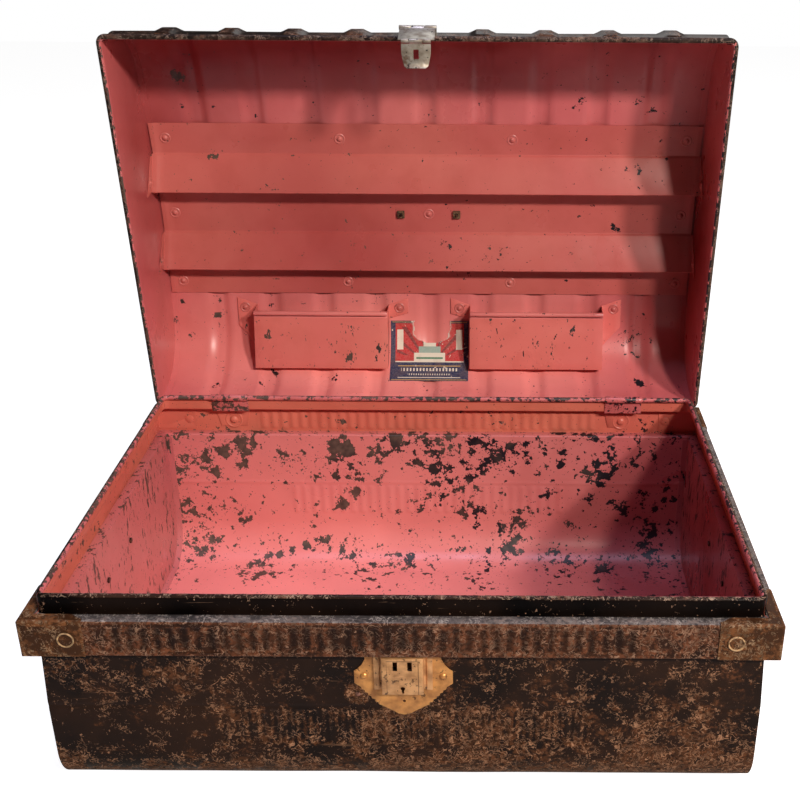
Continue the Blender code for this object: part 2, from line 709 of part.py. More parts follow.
def case_section():
    """Section across the lock case as (x, stand-off from the body wall)."""
    foot = GAP + LOCK_SHEET + GAP
    face = CASE_PROUD - LOCK_SHEET / 2
    ridge = MOULDING_PROUD
    step = MOULDING_PROUD * 0.65
    inner = CASE_HALF - LOCK_SHEET / 2
    half = [(MOULDING_HALF, foot), (MOULDING_HALF, ridge), (MOULDING_HALF - 0.005, ridge)]
    half += [(MOULDING_HALF - 0.0055, step), (inner, step), (inner, face)]
    return half + [(-x, out) for x, out in reversed(half)]


def build_lock_case():
    """Raised case pressed with a moulding down each side, with two slots and a keyhole."""
    section = case_section()
    top = BODY_HEIGHT - CASE_TOP_GAP - LOCK_SHEET / 2
    low = CASE_LOW + LOCK_SHEET / 2
    levels = (low, top)

    def place(row, column):
        x, out = section[column]
        return Vector((x, -(WALL_Y + out), levels[row]))

    bm = folded_grid(2, len(section), place, (0, 1))
    for level in levels:
        rim = [edge for edge in bm.edges if all(abs(vert.co.z - level) < 1e-6 for vert in edge.verts)]
        feet = [vert for edge in rim for vert in edge.verts if len(vert.link_edges) == 2]
        rim.append(bm.edges.new(feet))
        bmesh.ops.edgeloop_fill(bm, edges=rim)
    case = thicken(add_mesh("lock_case", bm, "brass"), LOCK_SHEET)
    holes = bmesh.new()
    deep = (-(WALL_Y + CASE_PROUD + 0.002), -(WALL_Y + CASE_PROUD - 0.002))
    for side in (-1, 1):
        x = side * SLOT_SPACING / 2
        add_box(
            holes, (x - SLOT_WIDTH / 2, deep[0], SLOT_CENTRE - SLOT_HEIGHT / 2),
            (x + SLOT_WIDTH / 2, deep[1], SLOT_CENTRE + SLOT_HEIGHT / 2),
        )
    cut(case, add_cutter("lock_slots", holes))
    keyhole = bmesh.new()
    add_rod(keyhole, (0, deep[0], KEYHOLE_CENTRE), (0, deep[1], KEYHOLE_CENTRE), KEYHOLE_R)
    cut(case, add_cutter("keyhole_round", keyhole))
    ward = bmesh.new()
    add_box(
        ward, (-KEYHOLE_R * 0.5, deep[0] + 0.0001, KEYHOLE_CENTRE - 0.0062),
        (KEYHOLE_R * 0.5, deep[1] - 0.0001, KEYHOLE_CENTRE - 0.0005),
    )
    cut(case, add_cutter("keyhole_ward", ward))
    return case


def build_lock_bolt():
    """Bolt plate that slides across the two slots, held against the case's face."""
    back = -(WALL_Y + CASE_PROUD - LOCK_SHEET - GAP)
    front_low = SLOT_CENTRE - BOLT_HEIGHT / 2
    bm = bmesh.new()
    add_box(
        bm, (-BOLT_WIDTH / 2 - BOLT_THROW / 2, back, front_low),
        (BOLT_WIDTH / 2 - BOLT_THROW / 2, back + BOLT_SHEET, front_low + BOLT_HEIGHT - 0.0025),
    )
    bolt = add_mesh("lock_bolt", bm, "bare_steel")
    windows = bmesh.new()
    for side in (-1, 1):
        x = side * SLOT_SPACING / 2
        add_box(
            windows, (x - SLOT_WIDTH / 2 - GAP, back - 0.002, SLOT_CENTRE - SLOT_HEIGHT / 2 - GAP),
            (x + SLOT_WIDTH / 2 + GAP, back + 0.004, SLOT_CENTRE + SLOT_HEIGHT / 2 + GAP),
        )
    return cut(bolt, add_cutter("bolt_windows", windows))


def build_lock_spring():
    """Bowed leaf between the escutcheon and the bolt, which keeps the bolt up to the face."""
    low_y = -(WALL_Y + GAP + LOCK_SHEET + GAP + SPRING_SHEET / 2)
    high_y = -(WALL_Y + CASE_PROUD - LOCK_SHEET - GAP - BOLT_SHEET - GAP - SPRING_SHEET / 2)
    reach = CASE_HALF - LOCK_SHEET - 0.003
    columns = [(-reach, 0.0), (-reach * 0.75, 0.05), (-reach * 0.3, 0.85), (-reach * 0.12, 1.0)]
    columns += [(-x, rise) for x, rise in reversed(columns)]

    def place(row, column):
        x, rise = columns[column]
        return Vector((x, low_y + (high_y - low_y) * rise, SLOT_CENTRE - 0.006 - 0.006 * row))

    part = add_mesh("lock_spring", folded_grid(2, len(columns), place, (0, 1)), "bare_steel")
    return thicken(part, SPRING_SHEET)


def lock_rivets():
    """Two rivets that hold the escutcheon to the front wall."""
    y = -(WALL_Y + GAP + LOCK_SHEET + GAP)
    return [
        ("lock_rivet_" + label, (side * LOCK_RIVET_X, y, LOCK_RIVET_Z), (0, 1, 0))
        for side, label in SIDES.items()
    ]


# Handles


def eye_points(base, up, span_axis, inner):
    """Path of one eye: shank from inside the sheet, then three quarters of a ring."""
    base, up, across = Vector(base), Vector(up), Vector(span_axis)
    side = up.cross(across)
    centre = base + up * (EYE_LIFT + EYE_R)
    points = [base - up * inner, base + up * EYE_ROD * 0.3]
    for step in range(9):
        angle = math.radians(-62 + step * 32.5)
        points.append(centre + side * EYE_R * math.cos(angle) + up * EYE_R * math.sin(angle))
    return points


def pivot_lift():
    """Height of a bail's pivot above the sheet."""
    return EYE_LIFT + EYE_R


def bail_points(span, reach, down, along, pivot):
    """Path of a bail: pin, leg, grip, leg, pin, with rounded corners."""
    pivot, down, along = Vector(pivot), Vector(down), Vector(along)
    wide = span / 2 + BAIL_OVERLAP
    bend = BAIL_R * 2.5
    corners = [(span / 2 - 0.005, 0.0), (wide, 0.0), (wide, reach)]
    half = [(corners[0][0], 0.0)]
    half += [(wide - bend + bend * math.sin(a), bend - bend * math.cos(a))
             for a in (0.0, math.pi / 4, math.pi / 2)]
    wide_bend = reach * 0.38
    half += [(wide - wide_bend + wide_bend * math.cos(a), reach - wide_bend + wide_bend * math.sin(a))
             for a in (0.0, math.pi / 6, math.pi / 3, math.pi / 2)]
    path = half + [(-x, drop) for x, drop in reversed(half)]
    return [pivot + along * x + down * drop for x, drop in path]


def build_nut(name, spot, up, parent=None):
    """Square nut on a shank, inside the sheet."""
    spot, up = Vector(spot), Vector(up)
    size = Vector([NUT_WIDTH / 2 if abs(value) < 0.5 else NUT_HEIGHT / 2 for value in up])
    bm = bmesh.new()
    add_box(bm, spot - size, spot + size)
    nut = add_mesh(name, bm, "bare_steel", parent)
    drill([nut], name + "_hole", [(spot - up * NUT_HEIGHT, spot + up * NUT_HEIGHT, EYE_ROD + GAP)], parent)


def build_end_handle(side, label, end_panel):
    """Drop handle on an end: backing plate, two eyes clinched through the sheet, and the bail."""
    plate_x = side * (WALL_X + GAP)
    face_x = plate_x + side * END_PLATE_SHEET
    bm = bmesh.new()
    low = (min(plate_x, face_x), -END_PLATE_LENGTH / 2, END_HANDLE_HEIGHT - END_PLATE_HEIGHT / 2)
    high = (max(plate_x, face_x), END_PLATE_LENGTH / 2, END_HANDLE_HEIGHT + END_PLATE_HEIGHT / 2)
    add_box(bm, low, high)
    corners = [edge for edge in bm.edges if abs(edge.verts[0].co.x - edge.verts[1].co.x) > 1e-6]
    bmesh.ops.bevel(bm, geom=corners, offset=0.006, segments=2, affect="EDGES", profile=0.5, material=-1)
    plate = add_mesh("end_handle_plate_" + label, bm, "japan_black")
    shanks = []
    inner = END_PLATE_SHEET + SHEET + GAP * 3
    for way, end in ((-1, "front"), (1, "back")):
        base = Vector((face_x + side * GAP, way * END_HANDLE_SPAN / 2, END_HANDLE_HEIGHT))
        points = eye_points(base, (side, 0, 0), (0, 1, 0), inner)
        eye = tube("end_handle_eye_" + label + "_" + end, points, EYE_ROD, "bare_steel")
        tail = bmesh.new()
        inside = base.x - side * inner
        add_rod(tail, (inside - side * 0.0018, base.y, base.z), (inside, base.y, base.z), EYE_ROD * 1.8)
        cut(eye, add_cutter("eye_tail_" + label + "_" + end, tail), "UNION")
        shanks.append(((side * (WALL_X - 0.004), base.y, base.z), (face_x + side * 0.001, base.y, base.z),
                       EYE_ROD + GAP))
    drill([plate, end_panel], "end_handle_holes_" + label, shanks)
    pivot = (face_x + side * (GAP + pivot_lift()), 0.0, END_HANDLE_HEIGHT)
    root = bpy.data.objects.new("end_bail_axis_" + label, None)
    root.location = pivot
    PARTS.objects.link(root)
    points = bail_points(END_HANDLE_SPAN, END_BAIL_REACH, (0, 0, -1), (0, 1, 0), (0, 0, 0))
    tube("end_handle_bail_" + label, points, BAIL_R, "bare_steel", root)


# Lid, in its own frame: y runs back from the hinge axis, so forward is -y


def dome_half(inset=0.0):
    """Half of the dome's section from the skirt to the crown, as (run from the middle, height)."""
    slope = math.degrees(CROWN_SLOPE)
    corner = arc((DOME_CORNER_T, LID_SKIRT), LID_CORNER_RADIUS - inset, 0, 90 - slope, CORNER_STEPS)
    crown = arc((0.0, CROWN_CENTRE), CROWN_RADIUS - inset, 90 - slope, 90, CROWN_STEPS // 2)
    return corner + crown[1:]


def dome_at(forward, inset=0.0):
    """Height of the dome's folded section above the rim plane, at a distance forward of the hinge."""
    run = abs(LID_REACH / 2 - forward)
    half = dome_half(inset)
    for (run_a, height_a), (run_b, height_b) in zip(half, half[1:]):
        if run_b - 1e-9 <= run <= run_a + 1e-9:
            return height_a + (height_b - height_a) * (run_a - run) / (run_a - run_b)
    raise ValueError("no dome there")


def outward(run, height):
    """Unit direction out of the dome at a point of its section."""
    if abs(run) > DOME_CORNER_T and height < LID_SKIRT + 1e-6:
        return (math.copysign(1.0, run), 0.0)
    centre_run = 0.0
    centre_height = CROWN_CENTRE
    if abs(run) > CROWN_RADIUS * math.sin(CROWN_SLOPE) - 1e-9:
        centre_run = math.copysign(DOME_CORNER_T, run)
        centre_height = LID_SKIRT
    reach = math.hypot(run - centre_run, height - centre_height)
    return ((run - centre_run) / reach, (height - centre_height) / reach)


def rib_columns(half):
    """X of each column of the lid wrap and whether it lies on a rib's crest."""
    columns = [(-half, 0.0)]
    for index in range(RIB_COUNT):
        middle = (index - (RIB_COUNT - 1) / 2) * RIB_PITCH
        columns += [(middle - RIB_WIDTH / 2, 0.0), (middle - RIB_CREST / 2, 1.0)]
        columns += [(middle + RIB_CREST / 2, 1.0), (middle + RIB_WIDTH / 2, 0.0)]
    return columns + [(half, 0.0)]


def build_lid_wrap():
    """Domed sheet with nine ribs over it and a rolled rim at the front and back."""
    side = arc((DOME_HALF + CURL_MID, 0.0), CURL_MID, 440, 180, CURL_STEPS)
    side += [(DOME_HALF, RIB_START), (DOME_HALF, RIB_FULL)]
    half = side + dome_half()
    section = half + [(-run, height) for run, height in reversed(half[:-1])]
    last = len(section) - 1
    first_rib = CURL_STEPS + 2
    ribbed = range(first_rib, last - first_rib + 1)
    columns = rib_columns(LID_WALL_X + SHEET / 2)

    def place(row, column):
        run, height = section[row]
        x, crest = columns[column]
        if column in (0, len(columns) - 1) and (row < CURL_STEPS or row > last - CURL_STEPS):
            x = math.copysign(LID_WALL_X + abs(run) - DOME_HALF - MITRE_GAP, x)
        under_hasp = abs(x) < RIB_PITCH / 2 and run < 0 and height <= LID_SKIRT
        if row in ribbed and crest and not under_hasp:
            out = outward(run, height)
            run += out[0] * RIB_HEIGHT
            height += out[1] * RIB_HEIGHT
        return Vector((x, run - LID_REACH / 2, height))

    bm = folded_grid(len(section), len(columns), place, ribbed)
    wrap = thicken(add_mesh("lid_wrap", bm, "japan_black", LID))
    notches = bmesh.new()
    for way in (-1, 1):
        half_notch = STRAP_WIDTH / 2 + STRAP_NOTCH_SIDE
        add_box(
            notches, (way * STRAP_OFFSET - half_notch, -2.5 * CURL_OUT, -2 * CURL_OUT),
            (way * STRAP_OFFSET + half_notch, 2 * CURL_OUT, STRAP_NOTCH_HEIGHT),
        )
    return cut(wrap, add_cutter("strap_notches", notches, LID))


def build_lid_end(side, name):
    """End of the lid: a dome-shaped plate with a lap flange and a rolled rim."""
    lap = SHEET + GAP
    half = [(DOME_HALF - lap, 0.0)] + dome_half(lap)
    outline = half + [(-run, height) for run, height in reversed(half[:-1])]
    bm = bmesh.new()
    verts = [bm.verts.new((LID_WALL_X, run - LID_REACH / 2, height)) for run, height in outline]
    bm.faces.new(verts)
    edges = [bm.edges.get(pair) for pair in zip(verts, verts[1:])]
    flange = bmesh.ops.extrude_edge_only(bm, edges=edges)
    moved = [item for item in flange["geom"] if isinstance(item, bmesh.types.BMVert)]
    bmesh.ops.translate(bm, vec=(-END_FLANGE, 0, 0), verts=moved)
    rim = bm.edges.get((verts[0], verts[-1]))
    for x, z in arc((LID_CURL_X, 0.0), CURL_MID, 180, 440, CURL_STEPS)[1:]:
        turned = bmesh.ops.extrude_edge_only(bm, edges=[rim])
        ends = [item for item in turned["geom"] if isinstance(item, bmesh.types.BMVert)]
        rim = next(item for item in turned["geom"] if isinstance(item, bmesh.types.BMEdge)
                   and all(vert in ends for vert in item.verts))
        for vert in ends:
            way = 1 if vert.co.y > -LID_REACH / 2 else -1
            run = DOME_HALF + (x - LID_WALL_X) - MITRE_GAP
            vert.co = (x, way * run - LID_REACH / 2, z)
    if side < 0:
        bmesh.ops.scale(bm, vec=(-1, 1, 1), verts=bm.verts[:])
    return thicken(add_mesh(name, bm, "japan_black", LID))


def stiffener_seat(way):
    """Height of the stiffener's seat on the dome, at a distance forward of its own middle."""
    return dome_at(STIFFENER_CENTRE + way, SHEET + GAP)


def stiffener_path():
    """Section of the stiffener as (forward, drop below the dome's seat), hinge side first."""
    edge = STIFFENER_MIDDLE / 2
    ramp = edge + STIFFENER_RAMP
    path = [(-ramp - STIFFENER_OUTER, 0.0), (-ramp - STIFFENER_OUTER / 2, 0.0)]
    for start, stop in ((-ramp, -edge), (edge, ramp)):
        high = stiffener_seat(start + RAMP_SLOPE) - stiffener_seat(STIFFENER_BACK) + RAMP_RISE
        path += [(start, 0.0), (start + RAMP_SLOPE, high), (stop - RAMP_SLOPE, RAMP_STEP), (stop, 0.0)]
        path.append(((stop + edge) / 2 if stop < 0 else stop + STIFFENER_OUTER / 2, 0.0))
    path.append((ramp + STIFFENER_OUTER, 0.0))
    return [(STIFFENER_CENTRE + way, stiffener_seat(way) - drop) for way, drop in path]


def build_stiffener():
    """Pressed panel inside the dome; each ramp ends in a tab turned down the end wall."""
    path = stiffener_path()
    half = LID_WALL_X - SHEET / 2 - END_FLANGE - GAP * 2
    tab_x = LID_WALL_X - SHEET - GAP

    def place(row, column):
        forward, height = path[row]
        return Vector((half if column else -half, -forward, height))

    bm = folded_grid(len(path), 2, place)
    ramps = [sorted((-path[row][0], -path[row + 1][0])) for row in RAMP_ROWS]
    ends = [edge for edge in bm.edges if abs(edge.verts[0].co.x - edge.verts[1].co.x) < 1e-6
            and any(abs(low - min(vert.co.y for vert in edge.verts)) < 1e-6
                    and abs(high - max(vert.co.y for vert in edge.verts)) < 1e-6 for low, high in ramps)]
    for edge in ends:
        way = math.copysign(1.0, edge.verts[0].co.x)
        for reach, drop in ((way * (tab_x - half), 0.0), (0.0, TAB_HEIGHT)):
            grown = bmesh.ops.extrude_edge_only(bm, edges=[edge])
            moved = [item for item in grown["geom"] if isinstance(item, bmesh.types.BMVert)]
            high = min(vert.co.z for vert in moved)
            for vert in moved:
                vert.co.x += reach
                vert.co.z -= drop if vert.co.z < high + 1e-6 else drop * TAB_LOW_SHARE
            edge = next(item for item in grown["geom"] if isinstance(item, bmesh.types.BMEdge)
                        and all(vert in moved for vert in item.verts))
    return thicken(add_mesh("lid_stiffener", bm, "pink_paint", LID))


def build_pocket(side, name):
    """Sheet pocket: sloping front with a rolled edge, two sides, a bottom and an ear each side."""
    seat = SHEET + GAP
    rows = [0.0, 0.34, 0.68, 1.0]
    near, far = POCKET_INNER, POCKET_INNER + POCKET_WIDTH
    columns = [near - POCKET_EAR, near, near, far, far, far + POCKET_EAR]
    feet = [POCKET_TOP_AT * ear_share for ear_share in POCKET_EAR_SHARES]

    def place(row, column):
        share = rows[row]
        forward = POCKET_LOW_AT + (POCKET_TOP_AT - POCKET_LOW_AT) * share
        height = POCKET_LOW[1] + (POCKET_TOP[1] - POCKET_LOW[1]) * share
        ear = 0 if column < 3 else 1
        if column in (0, 1, 4, 5) and row == 2:
            forward = feet[ear] + (POCKET_EAR_CUTS[ear] if column in (0, 5) else 0.0)
        if column in (0, 5) and row == 3:
            forward = POCKET_TOP_AT + POCKET_EAR_RISE
        if column not in (2, 3):
            height = dome_at(forward, seat)
        return Vector((side * columns[column], -forward, height))

    bm = folded_grid(4, 6, place, range(4))
    low_ears = []
    for face in bm.faces:
        reach = [abs(vert.co.x) for vert in face.verts]
        foot = min(-vert.co.y for vert in face.verts)
        if max(reach) > far + 0.001 and foot < feet[1] - 0.001:
            low_ears.append(face)
        if min(reach) < near - 0.001 and foot < feet[0] - 0.001:
            low_ears.append(face)
    bmesh.ops.delete(bm, geom=low_ears, context="FACES")
    low = [vert for vert in bm.verts if abs(-vert.co.y - POCKET_LOW[0]) < 1e-6]
    bmesh.ops.contextual_create(bm, geom=low)
    lip = [edge for edge in bm.edges
           if all(abs(-vert.co.y - POCKET_TOP[0]) < 1e-6 and abs(vert.co.z - POCKET_TOP[1]) < 1e-6
                  for vert in edge.verts)]
    centre = (-POCKET_TOP[0], POCKET_TOP[1] - POCKET_BEAD)
    for y, z in arc(centre, POCKET_BEAD, 90, 320, 4)[1:]:
        turned = bmesh.ops.extrude_edge_only(bm, edges=lip)
        ends = [item for item in turned["geom"] if isinstance(item, bmesh.types.BMVert)]
        lip = [item for item in turned["geom"] if isinstance(item, bmesh.types.BMEdge)
               and all(vert in ends for vert in item.verts)]
        for vert in ends:
            vert.co = (vert.co.x, y, z)
    return thicken(add_mesh(name, bm, "pink_paint", LID))


def build_label():
    """Paper label pasted on the curve of the dome between the pockets."""
    inset = SHEET / 2 + GAP + LABEL_SHEET / 2
    folds = sorted(LID_REACH / 2 - run for run, _ in dome_half(inset))
    rows = [LABEL_FROM] + [fold for fold in folds if LABEL_FROM < fold < LABEL_TO] + [LABEL_TO]

    def place(row, column):
        return Vector(((column - 0.5) * LABEL_WIDTH, -rows[row], dome_at(rows[row], inset)))

    part = add_mesh("lid_label", folded_grid(len(rows), 2, place), "paper", LID)
    return thicken(part, LABEL_SHEET)


def build_lid_handle(wrap, stiffener):
    """Carrying handle on the crown: two eyes bolted through the stiffener, nuts and the bail."""
    crown = dome_at(HANDLE_AT) + SHEET / 2 + GAP
    seat = crown - STACK_UNDER_EYE - NUT_HEIGHT / 2
    shanks = []
    inner = STACK_UNDER_EYE + NUT_HEIGHT + 0.002
    for way, label in SIDES.items():
        x = HANDLE_CENTRE + way * HANDLE_SPAN / 2
        base = (x, -HANDLE_AT, crown)
        points = eye_points(base, (0, 0, 1), (1, 0, 0), inner)
        tube("lid_handle_eye_" + label, points, EYE_ROD, "bare_steel", LID)
        build_nut("lid_handle_nut_" + label, (x, -HANDLE_AT, seat), (0, 0, 1), LID)
        shanks.append(((x, -HANDLE_AT, crown - 0.006), (x, -HANDLE_AT, crown + 0.002), EYE_ROD + GAP))
    drill([wrap, stiffener], "lid_handle_holes", shanks, LID)
    root = bpy.data.objects.new("lid_bail_axis", None)
    root.location = (HANDLE_CENTRE, -HANDLE_AT, crown + pivot_lift())
    root.parent = LID
    PARTS.objects.link(root)
    points = bail_points(HANDLE_SPAN, BAIL_REACH, (0, 1, 0), (1, 0, 0), (0, 0, 0))
    tube("lid_handle_bail", points, BAIL_R, "bare_steel", root)


# Hasp, on the lid's front


def knuckle_boxes(bm, spans, low, high):
    """Boxes that take away a sheet's knuckle over the given spans of X."""
    for start, end in spans:
        add_box(bm, (start, low[0], low[1]), (end, high[0], high[1]))


def build_hasp_leaf():
    """Fixed leaf on the skirt, stepped out to its two knuckles."""
    half = HASP_SHEET / 2
    axis = (-HASP_AXIS[0], HASP_AXIS[1])
    skirt = -(LID_REACH - CURL_MID + SHEET / 2 + GAP + half)
    mid = KNUCKLE_R + half
    path = [(skirt, LEAF_TOP), (skirt, axis[1] + 0.007), (skirt - 0.002, axis[1] + mid)]
    path += arc(axis, mid, 90, 380, 8)
    leaf = fold_strip("hasp_leaf", path, lambda row: LEAF_WIDTH / 2, "galvanised", LID, HASP_SHEET)
    bm = bmesh.new()
    middle = KNUCKLE_HALF + KNUCKLE_SIDE_GAP
    knuckle_boxes(bm, [(-middle, middle)], (axis[0] - 0.004, axis[1] - 0.004),
                  (axis[0] + 0.0042, axis[1] + 0.0034))
    return cut(leaf, add_cutter("leaf_gap", bm, LID))


def hinge_root(name, place, turn, parent):
    """Empty on a hinge axis, turned to its rest angle."""
    root = bpy.data.objects.new(name, None)
    root.location = place
    root.rotation_euler = (turn, 0.0, 0.0)
    root.parent = parent
    PARTS.objects.link(root)
    return root


def build_hasp_plate(root):
    """Swinging plate, flat along -z from its axis, with knuckles at both ends."""
    half = HASP_SHEET / 2
    mid = KNUCKLE_R + half
    path = arc((0.0, 0.0), mid, -20, 270, 8)
    path = [(y, z) for y, z in path[:-1]]
    path += [(-mid * 0.55, -mid * 0.95), (0.0, -mid - 0.0016)]
    low = -HASP_PLATE_REACH
    path += [(0.0, low + mid + 0.0016), (-mid * 0.55, low + mid * 0.95)]
    path += arc((0.0, low), mid, 150, 400, 8)[1:]

    def half_at(row):
        return HASP_PLATE_WIDTH / 2

    plate = fold_strip("hasp_plate", path, half_at, "galvanised", root, HASP_SHEET)
    top = bmesh.new()
    side = HASP_PLATE_WIDTH
    knuckle_boxes(top, [(-side, -KNUCKLE_HALF), (KNUCKLE_HALF, side)], (-0.005, -mid - 0.0012),
                  (0.005, 0.005))
    cut(plate, add_cutter("plate_top_gaps", top, root))
    bottom = bmesh.new()
    middle = KNUCKLE_HALF + KNUCKLE_SIDE_GAP
    reach = TONGUE_WIDTH / 2
    spans = [(-side, -reach), (-middle, middle), (reach, side)]
    knuckle_boxes(bottom, spans, (-0.005, low - 0.005), (0.005, low + mid + 0.0012))
    return cut(plate, add_cutter("plate_low_gaps", bottom, root))


def build_hasp_tongue(root):
    """Tongue with a slot, a rolled lip and two prongs for the lock's slots."""
    half = HASP_SHEET / 2
    mid = KNUCKLE_R + half
    path = arc((0.0, 0.0), mid, -20, 240, 7)
    path += [(0.0, -mid - 0.0016), (0.0, -TONGUE_REACH * 0.45), (0.0, -TONGUE_REACH * 0.8)]
    path += [(-0.0012, -TONGUE_REACH * 0.93), (-0.0038, -TONGUE_REACH)]
    lip = len(path) - 1
    widths = {lip: TONGUE_TIP_WIDTH * 0.36, lip - 1: TONGUE_TIP_WIDTH * 0.46, lip - 2: TONGUE_TIP_WIDTH * 0.5}

    def half_at(row):
        return widths.get(row, TONGUE_WIDTH / 2)

    tongue = fold_strip("hasp_tongue", path, half_at, "galvanised", root, HASP_SHEET)
    gaps = bmesh.new()
    side = TONGUE_WIDTH
    knuckle_boxes(gaps, [(-side, -KNUCKLE_HALF), (KNUCKLE_HALF, side)], (-0.005, -mid - 0.0012),
                  (0.005, 0.005))
    cut(tongue, add_cutter("tongue_gaps", gaps, root))
    slot = bmesh.new()
    high = -0.0095
    add_box(slot, (-TONGUE_SLOT[0] / 2, -0.004, high - TONGUE_SLOT[1]), (TONGUE_SLOT[0] / 2, 0.004, high))
    cut(tongue, add_cutter("tongue_slot", slot, root))
    prongs = bmesh.new()
    for way in (-1, 1):
        x = way * SLOT_SPACING / 2
        add_box(prongs, (x - 0.0014, -half * 0.5, -PRONG_REACH - 0.0035),
                (x + 0.0014, half + PRONG_LENGTH, -PRONG_REACH + 0.0035))
    return cut(tongue, add_cutter("tongue_prongs", prongs, root), "UNION")


def build_pin(name, parent, length):
    """Hinge pin with the knuckles round it."""
    bm = bmesh.new()
    add_rod(bm, (-length / 2, 0, 0), (length / 2, 0, 0), PIN_R)
    return add_mesh(name, bm, "galvanised", parent)


def build_hasp():
    """Hang the hasp: leaf on the lid, plate on the leaf, tongue on the plate."""
    build_hasp_leaf()
    axis = (0.0, -HASP_AXIS[0], HASP_AXIS[1])
    pin_seat = hinge_root("hasp_axis_seat", axis, 0.0, LID)
    build_pin("hasp_pin_upper", pin_seat, LEAF_WIDTH)
    # the plate's rest line droops forward from level, whatever the lid's opening is
    plate_turn = LID_OPEN - math.pi / 2 + HASP_PLATE_DROOP
    plate_root = hinge_root("hasp_plate_axis", axis, plate_turn, LID)
    build_hasp_plate(plate_root)
    tongue_turn = math.pi / 2 - HASP_PLATE_DROOP
    tongue_root = hinge_root("hasp_tongue_axis", (0, 0, -HASP_PLATE_REACH), tongue_turn, plate_root)
    build_hasp_tongue(tongue_root)
    build_pin("hasp_pin_lower", hinge_root("hasp_pin_seat", (0, 0, -HASP_PLATE_REACH), 0.0, plate_root),
              TONGUE_WIDTH)


def rivet_holes(rivets, depth):
    """Clearance holes for rivets, from just over the head through the given depth."""
    holes = []
    for _, spot, axis in rivets:
        spot, axis = Vector(spot), Vector(axis)
        holes.append((spot - axis * 0.002, spot + axis * depth, RIVET_HOLE))
    return holes


def build_base():
    """Everything that stands on the floor."""
    wrap = build_tub_wrap()
    ends = {side: build_end_panel(side, "end_panel_" + label) for side, label in SIDES.items()}
    collars = {-1: build_collar("collar_front", True, -1), 1: build_collar("collar_back", True, 1)}
    build_collar("collar_left", False, -1)
    build_collar("collar_right", False, 1)
    loop = rim_loop(BELT_X - BASE_CURL_D, -(BELT_Y - BASE_CURL_D), BELT_Y - BASE_CURL_D, BASE_CURL_Z)
    tube("base_rim_wire", loop, WIRE_R, "bare_steel", cyclic=True)
    rivets = corner_rivets()
    set_rivets(rivets, ("corner_rivet", 3 * SHEET + 4 * GAP, 0.0085, 0.0016, 0.0060), "rusty_brown")
    holes = dict(zip(CORNERS, rivet_holes(rivets, 0.008)))
    for (side_x, side_y), label in CORNERS.items():
        cap = build_corner_cap("corner_cap_" + label, side_x, side_y)
        patch = build_corner_patch("corner_patch_" + label, side_x, side_y)
        drill([cap, patch], "corner_hole_" + label, [holes[side_x, side_y]])
    for side_y, collar in collars.items():
        drill([collar], collar.name + "_holes", [holes[-1, side_y], holes[1, side_y]])
    rivets = strap_rivets()
    shape = ("strap_rivet", STRAP_SHEET + SHEET + 3 * GAP, 0.0058, 0.0024, 0.0050)
    set_rivets(rivets, shape, "pink_paint")
    holes = rivet_holes(rivets, 0.006)
    drill([collars[1]], "collar_strap_holes", holes)
    for (side, label), hole in zip(SIDES.items(), holes):
        drill([build_hinge_strap("hinge_strap_" + label, side)], "hinge_strap_hole_" + label, [hole])
    plate = build_lock_plate()
    build_lock_case()
    build_lock_bolt()
    build_lock_spring()
    rivets = lock_rivets()
    set_rivets(rivets, ("lock_rivet", LOCK_SHEET + SHEET + 3 * GAP, 0.0040, 0.0020, 0.0042), "brass")
    drill([plate, wrap], "lock_rivet_holes", rivet_holes(rivets, 0.006))
    for side, label in SIDES.items():
        build_end_handle(side, label, ends[side])


def build_lid():
    """Everything that swings with the lid."""
    wrap = build_lid_wrap()
    build_lid_end(-1, "lid_end_left")
    build_lid_end(1, "lid_end_right")
    tube("lid_rim_wire", rim_loop(LID_CURL_X, -LID_REACH, 0.0, 0.0), WIRE_R, "bare_steel", LID, True)
    stiffener = build_stiffener()
    build_pocket(-1, "lid_pocket_left")
    build_pocket(1, "lid_pocket_right")
    build_label()
    build_lid_handle(wrap, stiffener)
    build_hasp()


clear_scene()
PARTS = new_collection("steel_trunk")
CUTTERS = new_collection("cutters")
LID = bpy.data.objects.new("lid_hinge", None)
LID.location = (0.0, HINGE_Y, HINGE_Z)
LID.rotation_euler = (-LID_OPEN, 0.0, 0.0)
PARTS.objects.link(LID)
build_base()
build_lid()
bpy.context.view_layer.update()
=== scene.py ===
"""Looks of the pressed-steel travelling trunk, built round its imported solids, in metres."""

import math

import bmesh
import bpy
from mathutils import Matrix, Vector, noise


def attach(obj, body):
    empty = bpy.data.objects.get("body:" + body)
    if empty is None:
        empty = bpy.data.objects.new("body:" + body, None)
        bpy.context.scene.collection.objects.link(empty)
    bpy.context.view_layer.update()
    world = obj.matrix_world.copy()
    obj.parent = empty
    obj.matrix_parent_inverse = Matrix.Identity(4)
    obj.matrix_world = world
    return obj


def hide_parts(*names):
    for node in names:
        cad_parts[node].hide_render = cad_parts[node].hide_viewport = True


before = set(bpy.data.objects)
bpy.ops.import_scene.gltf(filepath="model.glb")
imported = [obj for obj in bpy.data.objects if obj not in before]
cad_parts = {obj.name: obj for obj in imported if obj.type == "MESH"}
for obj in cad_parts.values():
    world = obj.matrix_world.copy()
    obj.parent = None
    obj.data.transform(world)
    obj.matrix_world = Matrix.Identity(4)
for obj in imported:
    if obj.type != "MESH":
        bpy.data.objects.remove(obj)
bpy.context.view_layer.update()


# Camera, lamps and floor.
# The view looks down into the open trunk from a little above its lid, with the lens shifted the
# way the photograph is framed; two warm lamps stand at the right, a cool one hangs above and a weak
# one stands behind.
IMAGE_WIDTH = 800
FOCAL_PIXELS = 1136.43
LENS_CENTRE = (490.08, 403.20)
CAMERA_PLACE = Vector((0.0848, -1.1837, 0.8962))
CAMERA_PITCH = math.radians(24.634)
CAMERA_YAW = math.radians(0.113)
